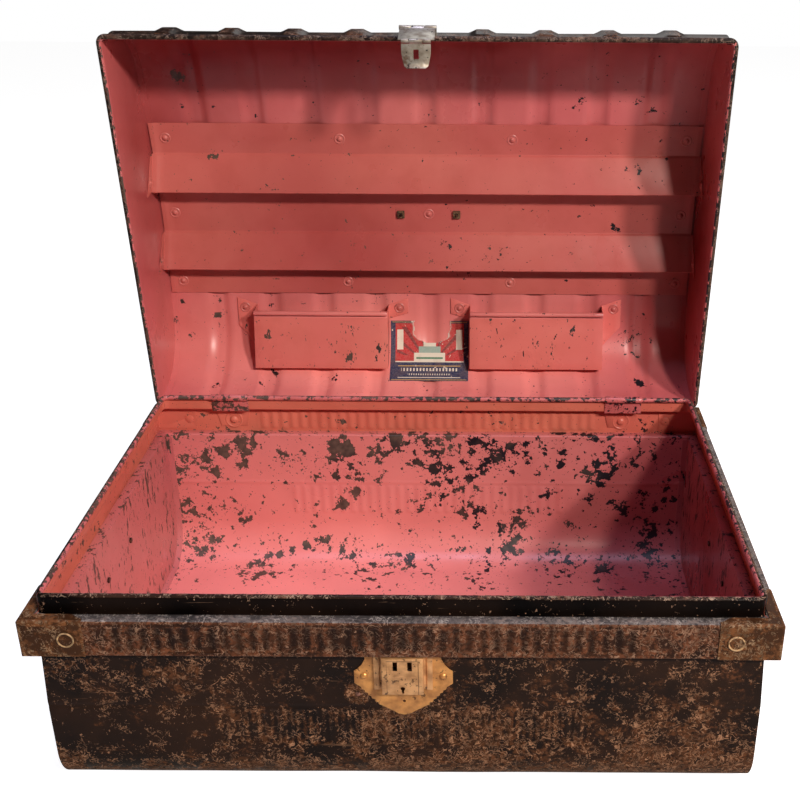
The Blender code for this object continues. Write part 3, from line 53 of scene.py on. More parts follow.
CAMERA_ROLL = math.radians(-0.387)
SENSOR = 36.0

ahead = Vector((
    math.sin(CAMERA_YAW) * math.cos(CAMERA_PITCH),
    math.cos(CAMERA_YAW) * math.cos(CAMERA_PITCH),
    -math.sin(CAMERA_PITCH),
))
level = Vector((math.cos(CAMERA_YAW), -math.sin(CAMERA_YAW), 0.0))
below = ahead.cross(level)
across = math.cos(CAMERA_ROLL) * level + math.sin(CAMERA_ROLL) * below
down = math.cos(CAMERA_ROLL) * below - math.sin(CAMERA_ROLL) * level
lens = bpy.data.cameras.new("camera")
lens.sensor_width = SENSOR
lens.lens = FOCAL_PIXELS / IMAGE_WIDTH * SENSOR
lens.shift_x = (IMAGE_WIDTH / 2 - LENS_CENTRE[0]) / IMAGE_WIDTH
lens.shift_y = (LENS_CENTRE[1] - IMAGE_WIDTH / 2) / IMAGE_WIDTH
lens.clip_start = 0.05
camera = bpy.data.objects.new("camera", lens)
turn = Matrix((across, -down, -ahead)).transposed().to_4x4()
camera.matrix_world = Matrix.Translation(CAMERA_PLACE) @ turn
bpy.context.scene.collection.objects.link(camera)
bpy.context.scene.camera = camera
bpy.context.scene.view_settings.view_transform = "Standard"


def add_lamp(name, place, aim, size, watts, colour):
    """Hang one soft rectangular lamp, turned to face a point."""
    lamp = bpy.data.lights.new(name, "AREA")
    lamp.shape = "RECTANGLE"
    lamp.size, lamp.size_y = size
    lamp.energy = watts
    lamp.color = colour
    hung = bpy.data.objects.new(name, lamp)
    hung.location = place
    hung.rotation_euler = (Vector(aim) - Vector(place)).to_track_quat("-Z", "Y").to_euler()
    bpy.context.scene.collection.objects.link(hung)


add_lamp("key_lamp", (2.40, -2.67, 2.53), (0.0, 0.10, 0.30), (0.30, 0.30), 108.0, (1.0, 0.90, 0.82))
add_lamp("second_lamp", (1.44, -2.67, 2.53), (0.0, 0.10, 0.30), (0.30, 0.30), 60.0, (1.0, 0.90, 0.80))
add_lamp("cool_lamp", (0.0, -0.1, 2.6), (0.0, 0.0, 0.1), (1.0, 0.6), 25.0, (0.70, 0.70, 1.0))
add_lamp("back_lamp", (0.4, 1.9, 1.7), (0.0, 0.2, 0.3), (1.4, 1.0), 7.0, (1.0, 0.98, 0.96))

WHITE = (1.0, 1.0, 1.0, 1.0)
SKY_COLOUR, SKY_STRENGTH = (0.90, 0.94, 1.0, 1.0), 0.035
FLOOR_GREY, FLOOR_GLOW = (0.60, 0.60, 0.60, 1.0), 0.93
FLOOR_SIZE, FLOOR_DROP = 6.0, 0.0005


class Value:
    """A node's output, which is added, scaled and compared like a number."""

    def __init__(self, socket):
        self.socket, self.tree = socket, socket.id_data

    def join(self, operation, other=0.0, swapped=False, clamp=False):
        """Combine it with a number or with another output."""
        first, second = (other, self) if swapped else (self, other)
        inputs = {0: first, 1: second}
        return add_node(self.tree, "Math", inputs, "Value", operation=operation, use_clamp=clamp)

    def beside(self, name):
        """Another output of the same node."""
        return Value(self.socket.node.outputs[name])

    def __add__(self, other):
        return self.join("ADD", other)

    def __sub__(self, other):
        return self.join("SUBTRACT", other)

    def __rsub__(self, other):
        return self.join("SUBTRACT", other, swapped=True)

    def __mul__(self, other):
        return self.join("MULTIPLY", other)

    def __gt__(self, other):
        return self.join("GREATER_THAN", other)

    def __lt__(self, other):
        return self.join("LESS_THAN", other)

    def __abs__(self):
        return self.join("ABSOLUTE")


def feed(node, inputs):
    """Give a node its inputs: plain values, or outputs to link."""
    for key, value in inputs.items():
        if isinstance(value, Value):
            node.id_data.links.new(value.socket, node.inputs[key])
        else:
            node.inputs[key].default_value = value


def add_node(tree, kind, inputs, out=None, **settings):
    """Add one shader node and give one of its outputs."""
    made = tree.nodes.new("ShaderNode" + kind)
    for key, value in settings.items():
        setattr(made, key, value)
    feed(made, inputs)
    return None if out is None else Value(made.outputs[out])


world = bpy.data.worlds.new("studio")
bpy.context.scene.world = world
world.use_nodes = True
sky = world.node_tree
sky.nodes.clear()
direct = add_node(sky, "LightPath", {}, "Is Camera Ray")
seen = add_node(sky, "Background", {"Color": WHITE, "Strength": 1.0}, "Background")
ambient = add_node(sky, "Background", {"Color": SKY_COLOUR, "Strength": SKY_STRENGTH}, "Background")
choice = add_node(sky, "MixShader", {"Fac": direct, 1: ambient, 2: seen}, "Shader")
add_node(sky, "OutputWorld", {"Surface": choice})

floor_mesh = bpy.data.meshes.new("floor")
bm = bmesh.new()
bmesh.ops.create_grid(bm, x_segments=1, y_segments=1, size=FLOOR_SIZE)
bm.to_mesh(floor_mesh)
bm.free()
floor = bpy.data.objects.new("floor", floor_mesh)
floor.location.z = -FLOOR_DROP
bpy.context.scene.collection.objects.link(floor)
floor_paint = bpy.data.materials.new("studio_floor")
floor_paint.use_nodes = True
glow = add_node(floor_paint.node_tree, "LightPath", {}, "Is Camera Ray") * FLOOR_GLOW
feed(floor_paint.node_tree.nodes["Principled BSDF"], {
    "Base Color": FLOOR_GREY, "Roughness": 0.85, "Emission Color": WHITE, "Emission Strength": glow,
})
floor_mesh.materials.append(floor_paint)


# Tub: front wall, floor and back wall of one folded sheet.
# It is thin sheet steel, japanned black outside and painted salmon pink inside, with a band of
# upright flutes pressed in both walls. The paint has flaked to black primer and brown rust.
SHEET = 0.0008
GAP = 0.0003
BELT_X = 0.3789
BELT_Y = 0.2564
BODY_HEIGHT = 0.190
SHELF_Z = 0.231
RIM_Z = 0.253
LAP = SHEET + GAP
BELT_OVER = 0.013
WALL_X = BELT_X - BELT_OVER
WALL_Y = BELT_Y - BELT_OVER
WALL_TOP = 0.186
FLOOR_BEND = 0.055
FLUTE_PITCH = 0.0135
FLUTE_DEEP = 0.0016
FLUTE_FADE = 0.005
WRAP_LIP = 0.0034
CREASE_Z, CREASE_DEEP, CREASE_WIDE = 0.117, 0.0006, 0.0025
WALLS_FROM_Y = 0.2
SIDES = ((-1, "left"), (1, "right"))
TUB_FLUTES = (-0.196, 29, 0.066, 0.114)
BELT_FLUTES = (-0.290, 39, 0.1945, 0.2265)


def grain_at(vector, scale, detail=2.0, roughness=0.5, distortion=0.0):
    """Plain noise at a place."""
    return add_node(vector.tree, "TexNoise", {
        "Vector": vector, "Scale": scale, "Detail": detail, "Roughness": roughness, "Distortion": distortion,
    }, "Fac")


def ramp(value, low=0.0, high=1.0, bottom=0.0, top=1.0, shape="LINEAR"):
    """Stretch a value from one range to another."""
    return add_node(value.tree, "MapRange", {
        "Value": value, "From Min": low, "From Max": high, "To Min": bottom, "To Max": top,
    }, "Result", interpolation_type=shape)


def soft_noise(vector, scale, detail=3.0, low=0.35, high=0.65):
    """Broad noise drawn out to the full range from 0 to 1."""
    return ramp(grain_at(vector, scale, detail), low, high)


def stretched(vector, stretch):
    """A place drawn out by a share for each axis."""
    return add_node(vector.tree, "VectorMath", {0: vector, 1: stretch}, "Vector", operation="MULTIPLY")


def axis_of(place, name):
    """One coordinate of a place."""
    return add_node(place.tree, "SeparateXYZ", {"Vector": place}, name)


def attribute(place, name):
    """A value that the mesh carries on its corners."""
    return add_node(place.tree, "Attribute", {}, "Fac", attribute_name=name)


def blend(share, first, second):
    """Mix two colours by a mask."""
    first, second = (value if isinstance(value, Value) else (*value, 1.0) for value in (first, second))
    inputs = {0: share, 6: first, 7: second}
    return add_node(share.tree, "Mix", inputs, 2, data_type="RGBA", clamp_factor=True)


def bumped(height, deep, strength, **below):
    """Normal of a bump, which may lie over another one."""
    inputs = {"Height": height, "Distance": deep, "Strength": strength, **below}
    return add_node(height.tree, "Bump", inputs, "Normal")


def times(colour, shares):
    """A colour scaled by one share, or by one for each channel."""
    shares = shares if isinstance(shares, tuple) else (shares,) * 3
    return tuple(value * share for value, share in zip(colour, shares))


def new_group(name, inputs, outputs):
    """Start a shader group and give its tree, its end and its inputs' values."""
    tree = bpy.data.node_groups.new(name, "ShaderNodeTree")
    for label, value in inputs.items():
        kind = "NodeSocketFloat" if isinstance(value, float) else "NodeSocketVector"
        tree.interface.new_socket(label, in_out="INPUT", socket_type=kind).default_value = value
    for label in outputs:
        tree.interface.new_socket(label, in_out="OUTPUT", socket_type="NodeSocketFloat")
    taken = tree.nodes.new("NodeGroupInput")
    return tree, tree.nodes.new("NodeGroupOutput"), [Value(taken.outputs[label]) for label in inputs]


def build_flaking():
    """Paint that has flaked: angular bare spots in clusters, and small pinholes."""
    tree, given, (vector, scale, threshold, cluster) = new_group("flaking", {
        "Vector": (0.0, 0.0, 0.0), "Scale": 60.0, "Threshold": 0.62, "Cluster": 0.5,
    }, ("Bare", "Pinholes"))
    shards = add_node(tree, "TexVoronoi", {"Vector": vector, "Scale": scale * 5.5}, "Position")
    broken = add_node(tree, "Mix", {"Factor": 0.62, 4: vector, 5: shards}, 1, data_type="VECTOR")
    gathered = (grain_at(vector, scale * 0.22, 3.0) - 0.5) * cluster
    ragged = grain_at(broken, scale, 5.0, 0.62, 0.15) + gathered
    small = grain_at(vector, scale * 3.1, 3.0, 0.55) + gathered * 0.5
    feed(given, {
        "Bare": ramp(ragged, threshold, threshold + 0.008), "Pinholes": small > threshold * 0.55 + 0.335,
    })
    return tree


def build_scratching():
    """Fine scratches that run along a stretched direction, broken into strokes."""
    tree, given, (vector, scale, stretch, threshold) = new_group("scratching", {
        "Vector": (0.0, 0.0, 0.0), "Scale": 40.0, "Stretch": (1.0, 1.0, 8.0), "Threshold": 0.66,
    }, ("Scratch",))
    lines = grain_at(stretched(vector, stretch), scale, 5.0, 0.7, 0.35)
    feed(given, {"Scratch": ramp(lines, threshold, threshold + 0.02)})
    return tree


FLAKING = build_flaking()
SCRATCHING = build_scratching()


def flakes(vector, scale, threshold, cluster):
    """Bare spots of the flaking group, with its pinholes beside them."""
    return add_node(vector.tree, "Group", {
        "Vector": vector, "Scale": scale, "Threshold": threshold, "Cluster": cluster,
    }, "Bare", node_tree=FLAKING)


def scratches(vector, scale, stretch, threshold):
    """Strokes of the scratching group."""
    return add_node(vector.tree, "Group", {
        "Vector": vector, "Scale": scale, "Stretch": stretch, "Threshold": threshold,
    }, "Scratch", node_tree=SCRATCHING)


def near_spots(place, spots):
    """Add up soft round marks, each given in millimetres as (x, y, z, reach) with its strength."""
    total = 0.0
    for *centre, reach, strength in spots:
        away = add_node(place.tree, "VectorMath", {
            0: place, 1: [value / 1000 for value in centre],
        }, "Value", operation="DISTANCE")
        total = ramp(away, 0.0, reach / 1000, strength, 0.0, "SMOOTHSTEP") + total
    return total


def start_finish(name):
    """Start a material and give it with its shader and its object coordinates."""
    made = bpy.data.materials.new(name)
    made.use_nodes = True
    return made, made.node_tree.nodes["Principled BSDF"], add_node(made.node_tree, "TexCoord", {}, "Object")


ROSE, PALE_ROSE, DULL_ROSE = (0.560, 0.126, 0.131), (0.600, 0.163, 0.155), (0.420, 0.084, 0.071)
# Colours of painted light (a pale pink) and painted shade (a deep red), laid on in soft spots.
PAINTED_LIGHT_ROSE, PAINTED_SHADE_ROSE = (0.900, 0.290, 0.262), (0.220, 0.013, 0.016)
BROWN_PRIMER, DARK_PRIMER = (0.116, 0.075, 0.056), (0.060, 0.041, 0.033)
BLUE_BLACK = (0.0050, 0.0055, 0.0090)


def pink_paint(name, threshold, cluster, scale=95.0, streak=(1.0, 1.0, 1.0), tint=(1.0, 1.0, 1.0), spots=(),
               dark=0.15, painted_light=(), painted_shade=(), gloss=0.45):
    """Aged salmon-pink enamel with painted light and painted shade laid on in places, flaked in chips to
    brown or blue-black primer.
    """
    made, shader, place = start_finish(name)
    rose, pale, dull = (times(colour, tint) for colour in (ROSE, PALE_ROSE, DULL_ROSE))
    uneven = grain_at(place, 12.0, 4.0) * 0.8 + 0.6
    tone = blend(soft_noise(place, 5.0, 4.0), rose, pale)
    tone = blend(soft_noise(place, 26.0, 6.0, 0.45, 0.75) * 0.35, tone, dull)
    # Soft spots of painted light and painted shade stand in for pools of lamp light and shadow.
    for marks, colour in ((painted_light, PAINTED_LIGHT_ROSE), (painted_shade, PAINTED_SHADE_ROSE)):
        if marks:
            tone = blend(near_spots(place, marks) * uneven, tone, colour)
    eased = attribute(place, "wear") * 0.06
    if spots:
        eased = eased + near_spots(place, spots)
    bare = flakes(stretched(place, streak), scale, threshold - eased, cluster)
    missing = bare.join("MAXIMUM", bare.beside("Pinholes"))
    side = soft_noise(place, 17.0, 3.0, 0.40, 0.60) + axis_of(place, "X") * 3.4
    primer = blend(soft_noise(place, 150.0, 4.0), BROWN_PRIMER, DARK_PRIMER)
    under = blend(side.join("SUBTRACT", dark, clamp=True), primer, BLUE_BLACK)
    height = 1.0 - missing + soft_noise(place, 220.0, 2.0) * 0.10 + soft_noise(place, 16.0, 2.0) * 1.6
    feed(shader, {
        "Base Color": blend(missing, tone, under),
        "Roughness": ramp(soft_noise(place, 14.0, 5.0), bottom=0.27, top=0.42) + missing * 0.12,
        "Normal": bumped(height, 0.00020, 0.7), "Specular IOR Level": gloss,
    })
    return made


def black_japan(name, rust=0.45, dark=(0.0080, 0.0046, 0.0032), brown=(0.070, 0.030, 0.015),
                speck=(0.42, 0.250, 0.165), marks=0.455, speck_share=0.85, foot=0.0, shine=0.12, metal=0.0,
                rusty=()):
    """Black japan gone thin: rough brown rust in patches, pale worm-like specks, fine scratches."""
    made, shader, place = start_finish(name)
    helped = attribute(place, "wear") * 0.13 + ramp(axis_of(place, "Z"), 0.0, 0.075, foot, 0.0)
    helped = helped + (soft_noise(place, 9.0, 3.0, 0.36, 0.64) - 0.5) * 0.11
    if rusty:
        helped = helped + near_spots(place, rusty)
    bloom = grain_at(place, 42.0, 10.0, 0.80, 0.35)
    start = 1.0 - rust - helped
    blooming = ramp(bloom, start, start + 0.075)
    brown_film = tuple(first * 0.6 + second * 0.30 for first, second in zip(dark, brown))
    thin = blend(soft_noise(place, 14.0, 5.0), dark, brown_film)
    red = blend(soft_noise(place, 75.0, 4.0), brown, times(brown, (1.9, 1.75, 1.6)))
    tone = blend(blooming * soft_noise(place, 230.0, 4.0, 0.36, 0.56), thin, red)
    ridge = abs(grain_at(place, 120.0, 3.0, 0.60, 1.0) - 0.5) < 0.025
    gate = grain_at(place, 64.0, 6.0, 0.75) + blooming * 0.05 > 1.0 - marks - helped * 0.8
    dots = grain_at(place, 300.0) + helped * 0.3 > 0.712
    spots = (ridge * gate).join("MAXIMUM", dots)
    tone = blend(spots * speck_share, tone, blend(soft_noise(place, 70.0, 3.0), speck, times(speck, 0.30)))
    slanted = add_node(made.node_tree, "Mapping", {"Vector": place, "Rotation": (0.4, 0.7, 0.9)}, "Vector")
    slants = scratches(slanted, 30.0, (0.10, 1.0, 1.0), 0.69)
    scored = scratches(place, 9.0, (1.0, 1.0, 26.0), 0.670).join("MAXIMUM", slants)
    tone = blend(scored * 0.40, tone, times(speck, 0.7))
    height = bloom * 1.2 - spots + soft_noise(place, 15.0) * 1.8
    # The flutes' troughs are darkened: partly the black paint left in them, partly painted shade in the
    # hollows.
    feed(shader, {
        "Base Color": blend(attribute(place, "trough") * 0.66, tone, times(dark, 0.5)),
        "Roughness": ramp(blooming, bottom=0.32, top=0.62), "Metallic": metal,
        "Normal": bumped(height, 0.00022, 0.8), "Specular IOR Level": shine,
    })
    return made


def on_wall(y, rows):
    """Marks on an upright wall at y, in millimetres, given as (x, z, reach, strength)."""
    return [(x, y, z, reach, strength) for x, z, reach, strength in rows]


BACK_FACE, FRONT_FACE = 242.6, -243.4
TUB_MARKS = on_wall(BACK_FACE, [
    (-121, 165, 34, 0.3), (-145, 128, 32, 0.1), (-103, 128, 24, 0.17), (-202, 152, 26, 0.17),
    (-261, 145, 17, 0.19), (-350, 130, 30, 0.12), (-166, 130, 20, 0.15), (-130, 127, 14, 0.2),
    (-73, 157, 26, 0.14), (-66, 126, 20, 0.17), (-43, 182, 15, 0.18), (-14, 146, 18, 0.15),
    (-283, 163, 14, 0.16), (-305, 131, 22, 0.14), (-314, 156, 18, 0.14), (-102, 103, 16, 0.14),
    (-123, 82, 18, 0.14), (-260, 184, 14, 0.2), (-260, 140, 100, 0.035), (-330, 90, 60, 0.04),
    (-126, 82, 24, 0.12), (34, 150, 50, 0.045), (92, 148, 32, 0.075), (131, 160, 45, 0.055),
    (60, 66, 40, 0.11), (250, 140, 45, 0.12), (300, 88, 55, 0.1), (-12, 82, 30, 0.07),
]) + [
    (-262, 240, 58, 22, 0.1), (-118, 225, 22, 28, 0.14), (-330, 230, 30, 45, 0.1), (-250, 185, 1, 35, 0.1),
    (125, 240, 58, 50, 0.11), (120, 225, 20, 40, 0.11), (310, 215, 15, 65, 0.09), (240, 200, 5, 60, 0.06),
    (-40, 215, 15, 45, 0.08), (-232, 215, 10, 9, 0.2), (-214, 219, 12, 9, 0.24), (-196, 223, 16, 11, 0.26),
    (-178, 227, 21, 12, 0.28), (-160, 232, 27, 12, 0.22), (0, -20, 0, 200, -0.06), (-200, 50, 0, 220, -0.05),
]
LID_MARKS = [
    (-318, 320, 666, 15, 0.32), (-318, 329, 628, 7, 0.24), (-278, 329, 628, 7, 0.24),
    (-306, 360, 326, 12, 0.32), (-354, 358, 348, 10, 0.26), (-365, 357, 322, 12, 0.24),
    (-342, 352, 298, 18, 0.18), (-304, 299, 242, 12, 0.28), (-262, 307, 250, 8, 0.2),
    (-222, 318, 256, 16, 0.24), (-137, 309, 250, 15, 0.18), (16, 306, 248, 12, 0.2),
    (-180, 360, 345, 10, 0.22), (302, 305, 245, 12, 0.34), (319, 303, 243, 10, 0.3),
    (260, 303, 243, 10, 0.22), (298, 330, 626, 13, 0.28), (280, 327, 639, 14, 0.22),
    (205, 327, 637, 12, 0.22), (313, 331, 620, 12, 0.22), (288, 352, 300, 45, 0.09),
    (-72, 347, 286, 30, 0.12),
]
# Painted light: a bright pool over the tub's floor and a faint one high on the back wall. Painted shade: the
# tub's right end, in the lamps' shadow.
TUB_PAINTED_LIGHT = [
    (-160, 20, -20, 470, 1.15), (20, 240, 120, 200, 0.08),
]
TUB_PAINTED_SHADE = [
    (340, 120, 0, 300, 0.5),
]
# Painted light on the lid's lower curve; painted shade along its top strip and over both end plates.
LID_PAINTED_LIGHT = [
    (-270, 330, 260, 150, 0.55), (-90, 330, 250, 180, 1.3), (130, 330, 250, 180, 0.85),
]
LID_PAINTED_SHADE = [
    (-270, 300, 775, 180, 1.4), (-100, 300, 775, 180, 1.4), (80, 300, 775, 180, 1.4),
    (260, 300, 775, 140, 1.2), (385, 330, 460, 210, 1.0), (-385, 330, 560, 240, 0.7),
]
BODY_RUSTY = on_wall(FRONT_FACE, [
    (-47.5, 134.2, 17, 0.42), (320, 60, 130, 0.075), (100, 90, 110, 0.04), (250, 110, 90, 0.06),
    (150, 140, 70, 0.04), (-160, 73, 60, 0.04), (-20, 100, 70, 0.045), (-355, 120, 60, -0.045),
    (-130, 150, 70, -0.03),
]) + [
    (0, -230, 10, 180, 0.05),
]


# The tub's pink is a paler copy of the pink, as painted light, and carries the tub's painted light and
# painted shade.
PINK_BACK = pink_paint(
    "pink_paint_tub", 0.634, 0.40, scale=85.0, tint=(0.97, 1.08, 1.06),
    spots=TUB_MARKS, painted_light=TUB_PAINTED_LIGHT, painted_shade=TUB_PAINTED_SHADE,
)
PINK_LID = pink_paint(
    "pink_paint_lid", 0.700, 0.25, tint=(1.03, 1.03, 1.03), dark=-1.1,
    spots=LID_MARKS, painted_light=LID_PAINTED_LIGHT, painted_shade=LID_PAINTED_SHADE,
)
JAPAN_BODY = black_japan(
    "black_japan_body", 0.460, (0.0085, 0.0046, 0.0027), (0.072, 0.029, 0.0125), (0.47, 0.245, 0.135),
    foot=0.15, rusty=BODY_RUSTY,
)


def smoothly(low, high, value):
    """Ease from 0 to 1 between two values."""
    share = min(max((value - low) / (high - low), 0.0), 1.0)
    return share * share * (3 - 2 * share)


def flute_at(flutes, x, z):
    """How far in a band of flutes is pressed at a spot, from 0 to 1."""
    left, count, low, high = flutes
    if not left <= x <= left + count * FLUTE_PITCH:
        return 0.0
    lobe = 0.5 - 0.5 * math.cos(2 * math.pi * (x - left) / FLUTE_PITCH)
    return lobe * smoothly(low, low + FLUTE_FADE, z) * (1 - smoothly(high - FLUTE_FADE, high, z))


def dent(x, y, z, size=0.0005, scale=9.0):
    """Slow unevenness of hand-worked sheet."""
    return size * noise.noise(Vector((x * scale, y * scale, z * scale)))


def rounded(points, radius, steps=4):
    """Round the corners of a folded section, given as flat points."""
    made = [Vector(points[0])]
    for before, corner, after in zip(points, points[1:], points[2:]):
        before, corner, after = Vector(before), Vector(corner), Vector(after)
        into = (corner - before).normalized()
        out = (after - corner).normalized()
        reach = min(radius, (corner - before).length * 0.45, (after - corner).length * 0.45)
        start, end = corner - into * reach, corner + out * reach
        for step in range(steps + 1):
            share = step / steps
            one, two = start.lerp(corner, share), corner.lerp(end, share)
            made.append(one.lerp(two, share))
    made.append(Vector(points[-1]))
    return made


def arc(centre, radius, start, end, steps):
    """Points on a circle's arc, angles in degrees."""
    points = []
    for index in range(steps + 1):
        angle = math.radians(start + (end - start) * index / steps)
        points.append(Vector((centre[0] + radius * math.cos(angle), centre[1] + radius * math.sin(angle))))
    return points


def new_shape(*layers):
    """Start a bmesh whose corners carry their wear and the other values named."""
    bm = bmesh.new()
    return bm, *(bm.verts.layers.float.new(name) for name in ("wear", *layers))


def draw_out(bm, edges):
    """Extrude edges; give the new corners and the new edges that join them."""
    made = bmesh.ops.extrude_edge_only(bm, edges=edges)["geom"]
    corners = [item for item in made if isinstance(item, bmesh.types.BMVert)]
    lines = [item for item in made if isinstance(item, bmesh.types.BMEdge)]
    return corners, [line for line in lines if all(vert in corners for vert in line.verts)]


def mirrored(points):
    """The other half of a section, from its middle on."""
    return [Vector((-spot.x, spot.y)) for spot in reversed(points)]


def pressed_sheet(rows, columns, place, wear, trough=None):
    """A fine grid of sheet with each corner moved to its pressed place, and its wear and troughs kept."""
    bm, rubbed, sunk = new_shape("trough")
    bmesh.ops.create_grid(bm, x_segments=columns - 1, y_segments=rows - 1, size=0.5)
    for vert in bm.verts:
        column = round((vert.co.x + 0.5) * (columns - 1))
        row = round((vert.co.y + 0.5) * (rows - 1))
        vert.co = place(row, column)
        vert[rubbed] = wear(row, column)
        vert[sunk] = trough(row, column) if trough else 0.0
    bmesh.ops.recalc_face_normals(bm, faces=bm.faces[:])
    return bm


BEVEL_FROM = math.radians(40.0)


def finish_piece(name, bm, finishes, body, nodes=(), sheet=0.0, bevel=0.0, pick=None, angle=35.0):
    """Turn a bmesh into a finished piece: wall, rounded edges, finishes by face, and its body."""
    mesh = bpy.data.meshes.new(name)
    bm.to_mesh(mesh)
    bm.free()
    piece = bpy.data.objects.new(name, mesh)
    bpy.context.scene.collection.objects.link(piece)
    if sheet:
        wall = piece.modifiers.new("wall", "SOLIDIFY")
        wall.thickness = sheet
        wall.offset = 0.0
        wall.use_even_offset = True
        wall.use_quality_normals = True
    if bevel:
        edge = piece.modifiers.new("edge", "BEVEL")
        edge.width = bevel
        edge.segments = 2
        edge.limit_method = "ANGLE"
        edge.angle_limit = BEVEL_FROM
    if sheet or bevel:
        bpy.context.view_layer.update()
        shape = piece.evaluated_get(bpy.context.evaluated_depsgraph_get())
        settled = bpy.data.meshes.new_from_object(shape)
        piece.modifiers.clear()
        piece.data = settled
        settled.name = name
    for finish in finishes:
        piece.data.materials.append(finish)
    if pick:
        for face in piece.data.polygons:
            face.material_index = pick(face.center, face.normal)
    piece.data.shade_smooth()
    piece.data.set_sharp_from_angle(angle=math.radians(angle))
    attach(piece, body)
    if nodes:
        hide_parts(*nodes)


def inside_tub(centre, normal):
    """1 for a face that looks into the tub, 0 for one that looks out."""
    if centre.z > WALL_TOP and normal.z > 0.5:
        return 1
    if abs(centre.x) > WALL_X and centre.z < WALL_TOP:
        return 0
    return int(normal.dot(Vector((-centre.x * 0.2, -centre.y, 0.15 - centre.z))) > 0)


ledge_z = BODY_HEIGHT + SHEET + GAP + SHEET / 2
LEDGE_SHORT = 0.0011
wall_y = WALL_Y - SHEET / 2
bend = FLOOR_BEND - SHEET / 2
front_half = rounded([(-(BELT_Y - LEDGE_SHORT), ledge_z), (-wall_y, ledge_z), (-wall_y, 0.122)], 0.0016)
front_half += [Vector((-wall_y, 0.120 - 0.002 * step)) for step in range(30)]
front_half += arc((-wall_y + bend, SHEET / 2 + bend), bend, 180, 270, 22)
floor_runs = [Vector((y / 1000.0, SHEET / 2)) for y in range(-180, 181, 20)]
tub_path = front_half + floor_runs + mirrored(front_half)
tub_columns = [-WALL_X, -WALL_X + 0.001] + [-0.355 + 0.0127 * step for step in range(12)]
flute_left, flute_count = TUB_FLUTES[:2]
tub_columns += [flute_left + FLUTE_PITCH * step / 7 for step in range(flute_count * 7 + 1)]
tub_columns += [0.2055 + 0.0125 * step for step in range(13)] + [WALL_X - 0.001, WALL_X]


def place_tub(row, column):
    """Front, floor or back of the tub, with its flutes, a crease and slow dents."""
    y, z = tub_path[row]
    x = tub_columns[column]
    inward = flute_at(TUB_FLUTES, x, z) * FLUTE_DEEP * (0.55 if y > 0 else 1.0)
    if abs(y) > WALLS_FROM_Y and z < WALL_TOP:
        inward += CREASE_DEEP * math.exp(-((z - CREASE_Z) / CREASE_WIDE) ** 2)
        inward += dent(x, y, z, 0.0007) + 0.0004
    lift = dent(x, y, 0.0, 0.0006) + 0.0003 if abs(y) < 0.19 and z < 0.01 else 0.0
    if column in (0, len(tub_columns) - 1):
        x += math.copysign(WRAP_LIP * smoothly(0.188, 0.184, z), x)
        if z > 0.1885:
            x += math.copysign(min(max(abs(y) - wall_y + 0.0003, 0.0), 0.0115), x)
            z -= 0.0003
    return Vector((x, y - math.copysign(inward, y), z + max(lift, 0.0)))


def wear_tub(row, column):
    """Rubbed at the floor's bends, the bottom corners and on the flutes' edges."""
    y, z = tub_path[row]
    x = tub_columns[column]
    ridge = flute_at(TUB_FLUTES, x, z)
    corner = smoothly(0.335, 0.366, abs(x)) * smoothly(0.09, 0.02, z)
    if y > WALLS_FROM_Y and z > 0.17:
        corner = 1.3 * smoothly(0.179, 0.187, z)
    if y > WALLS_FROM_Y and x < -0.340:
        corner = max(corner, 1.2 * smoothly(-0.346, -0.364, x))
    bends = 0.8 * (1 - smoothly(0.0, 0.045, z)) * smoothly(0.15, 0.2, abs(y))
    return max(bends, corner, 0.9 * ridge * (1 - ridge) * 3)


def trough_tub(row, column):
    """Dark bottoms of the flutes: partly black paint left in them, partly painted shade in the hollows."""
    y, z = tub_path[row]
    return 0.45 * smoothly(0.35, 0.95, flute_at(TUB_FLUTES, tub_columns[column], z))


bm = pressed_sheet(len(tub_path), len(tub_columns), place_tub, wear_tub, trough_tub)
finish_piece(
    "tub_sheet", bm, [JAPAN_BODY, PINK_BACK], "base", ["tub_wrap"], SHEET, pick=inside_tub
)


# End panels of the tub.
# Each is a flat plate let in between the walls, with a lap flange soldered inside them and a ledge
# turned out under the belt. Their pink paint has worn in upright streaks.
# The left end plate, facing the lamps, carries a pool of painted light; the right one, turned away, carries
# painted shade.
PINK_END = pink_paint(
    "pink_paint_ends", 0.590, 0.32, scale=120.0, streak=(1.0, 1.0, 0.36), dark=0.0,
    tint=(0.88, 1.04, 1.04), painted_light=[(-366, -50, 50, 300, 0.40)], painted_shade=[(366, 50, 100, 360, 0.85)],
)
END_FLANGE = 0.008


def build_end_panel(side, label):
    """Plate with its flange and ledge drawn out from the outline."""
    lapped_y = wall_y - LAP
    radius = FLOOR_BEND - SHEET / 2 - LAP
    half = [Vector((-lapped_y, z)) for z in (ledge_z, ledge_z - 0.004)]
    half += arc((-lapped_y + radius, SHEET / 2 + LAP + radius), radius, 180, 270, 18)
    plate_x = WALL_X - SHEET / 2
    bm, _ = new_shape()
    verts = [bm.verts.new((plate_x, *spot)) for spot in half + mirrored(half)]
    bm.faces.new(verts)
    flange, _ = draw_out(bm, [bm.edges.get(pair) for pair in zip(verts[1:-1], verts[2:-1])])
    bmesh.ops.translate(bm, vec=(-END_FLANGE, 0, 0), verts=flange)
    ledge, _ = draw_out(bm, [bm.edges.get((verts[0], verts[-1]))])
    reach = BELT_X - LEDGE_SHORT - plate_x
    for vert in ledge:
        vert.co.x += reach
        vert.co.y += math.copysign(reach, vert.co.y)
    bmesh.ops.scale(bm, vec=(side, 1, 1), verts=bm.verts[:])
    bmesh.ops.recalc_face_normals(bm, faces=bm.faces[:])

    def inner(centre, normal):
        if centre.z > WALL_TOP and normal.z > 0.5:
            return 1
        return int(normal.dot(Vector((-side, -centre.y * 2, (0.12 - centre.z) * 2))) > 0)

    finish_piece(
        "end_plate_" + label, bm, [JAPAN_BODY, PINK_END], "base",
        ["end_panel_" + label], SHEET, pick=inner,
    )


for side, label in SIDES:
    build_end_panel(side, label)


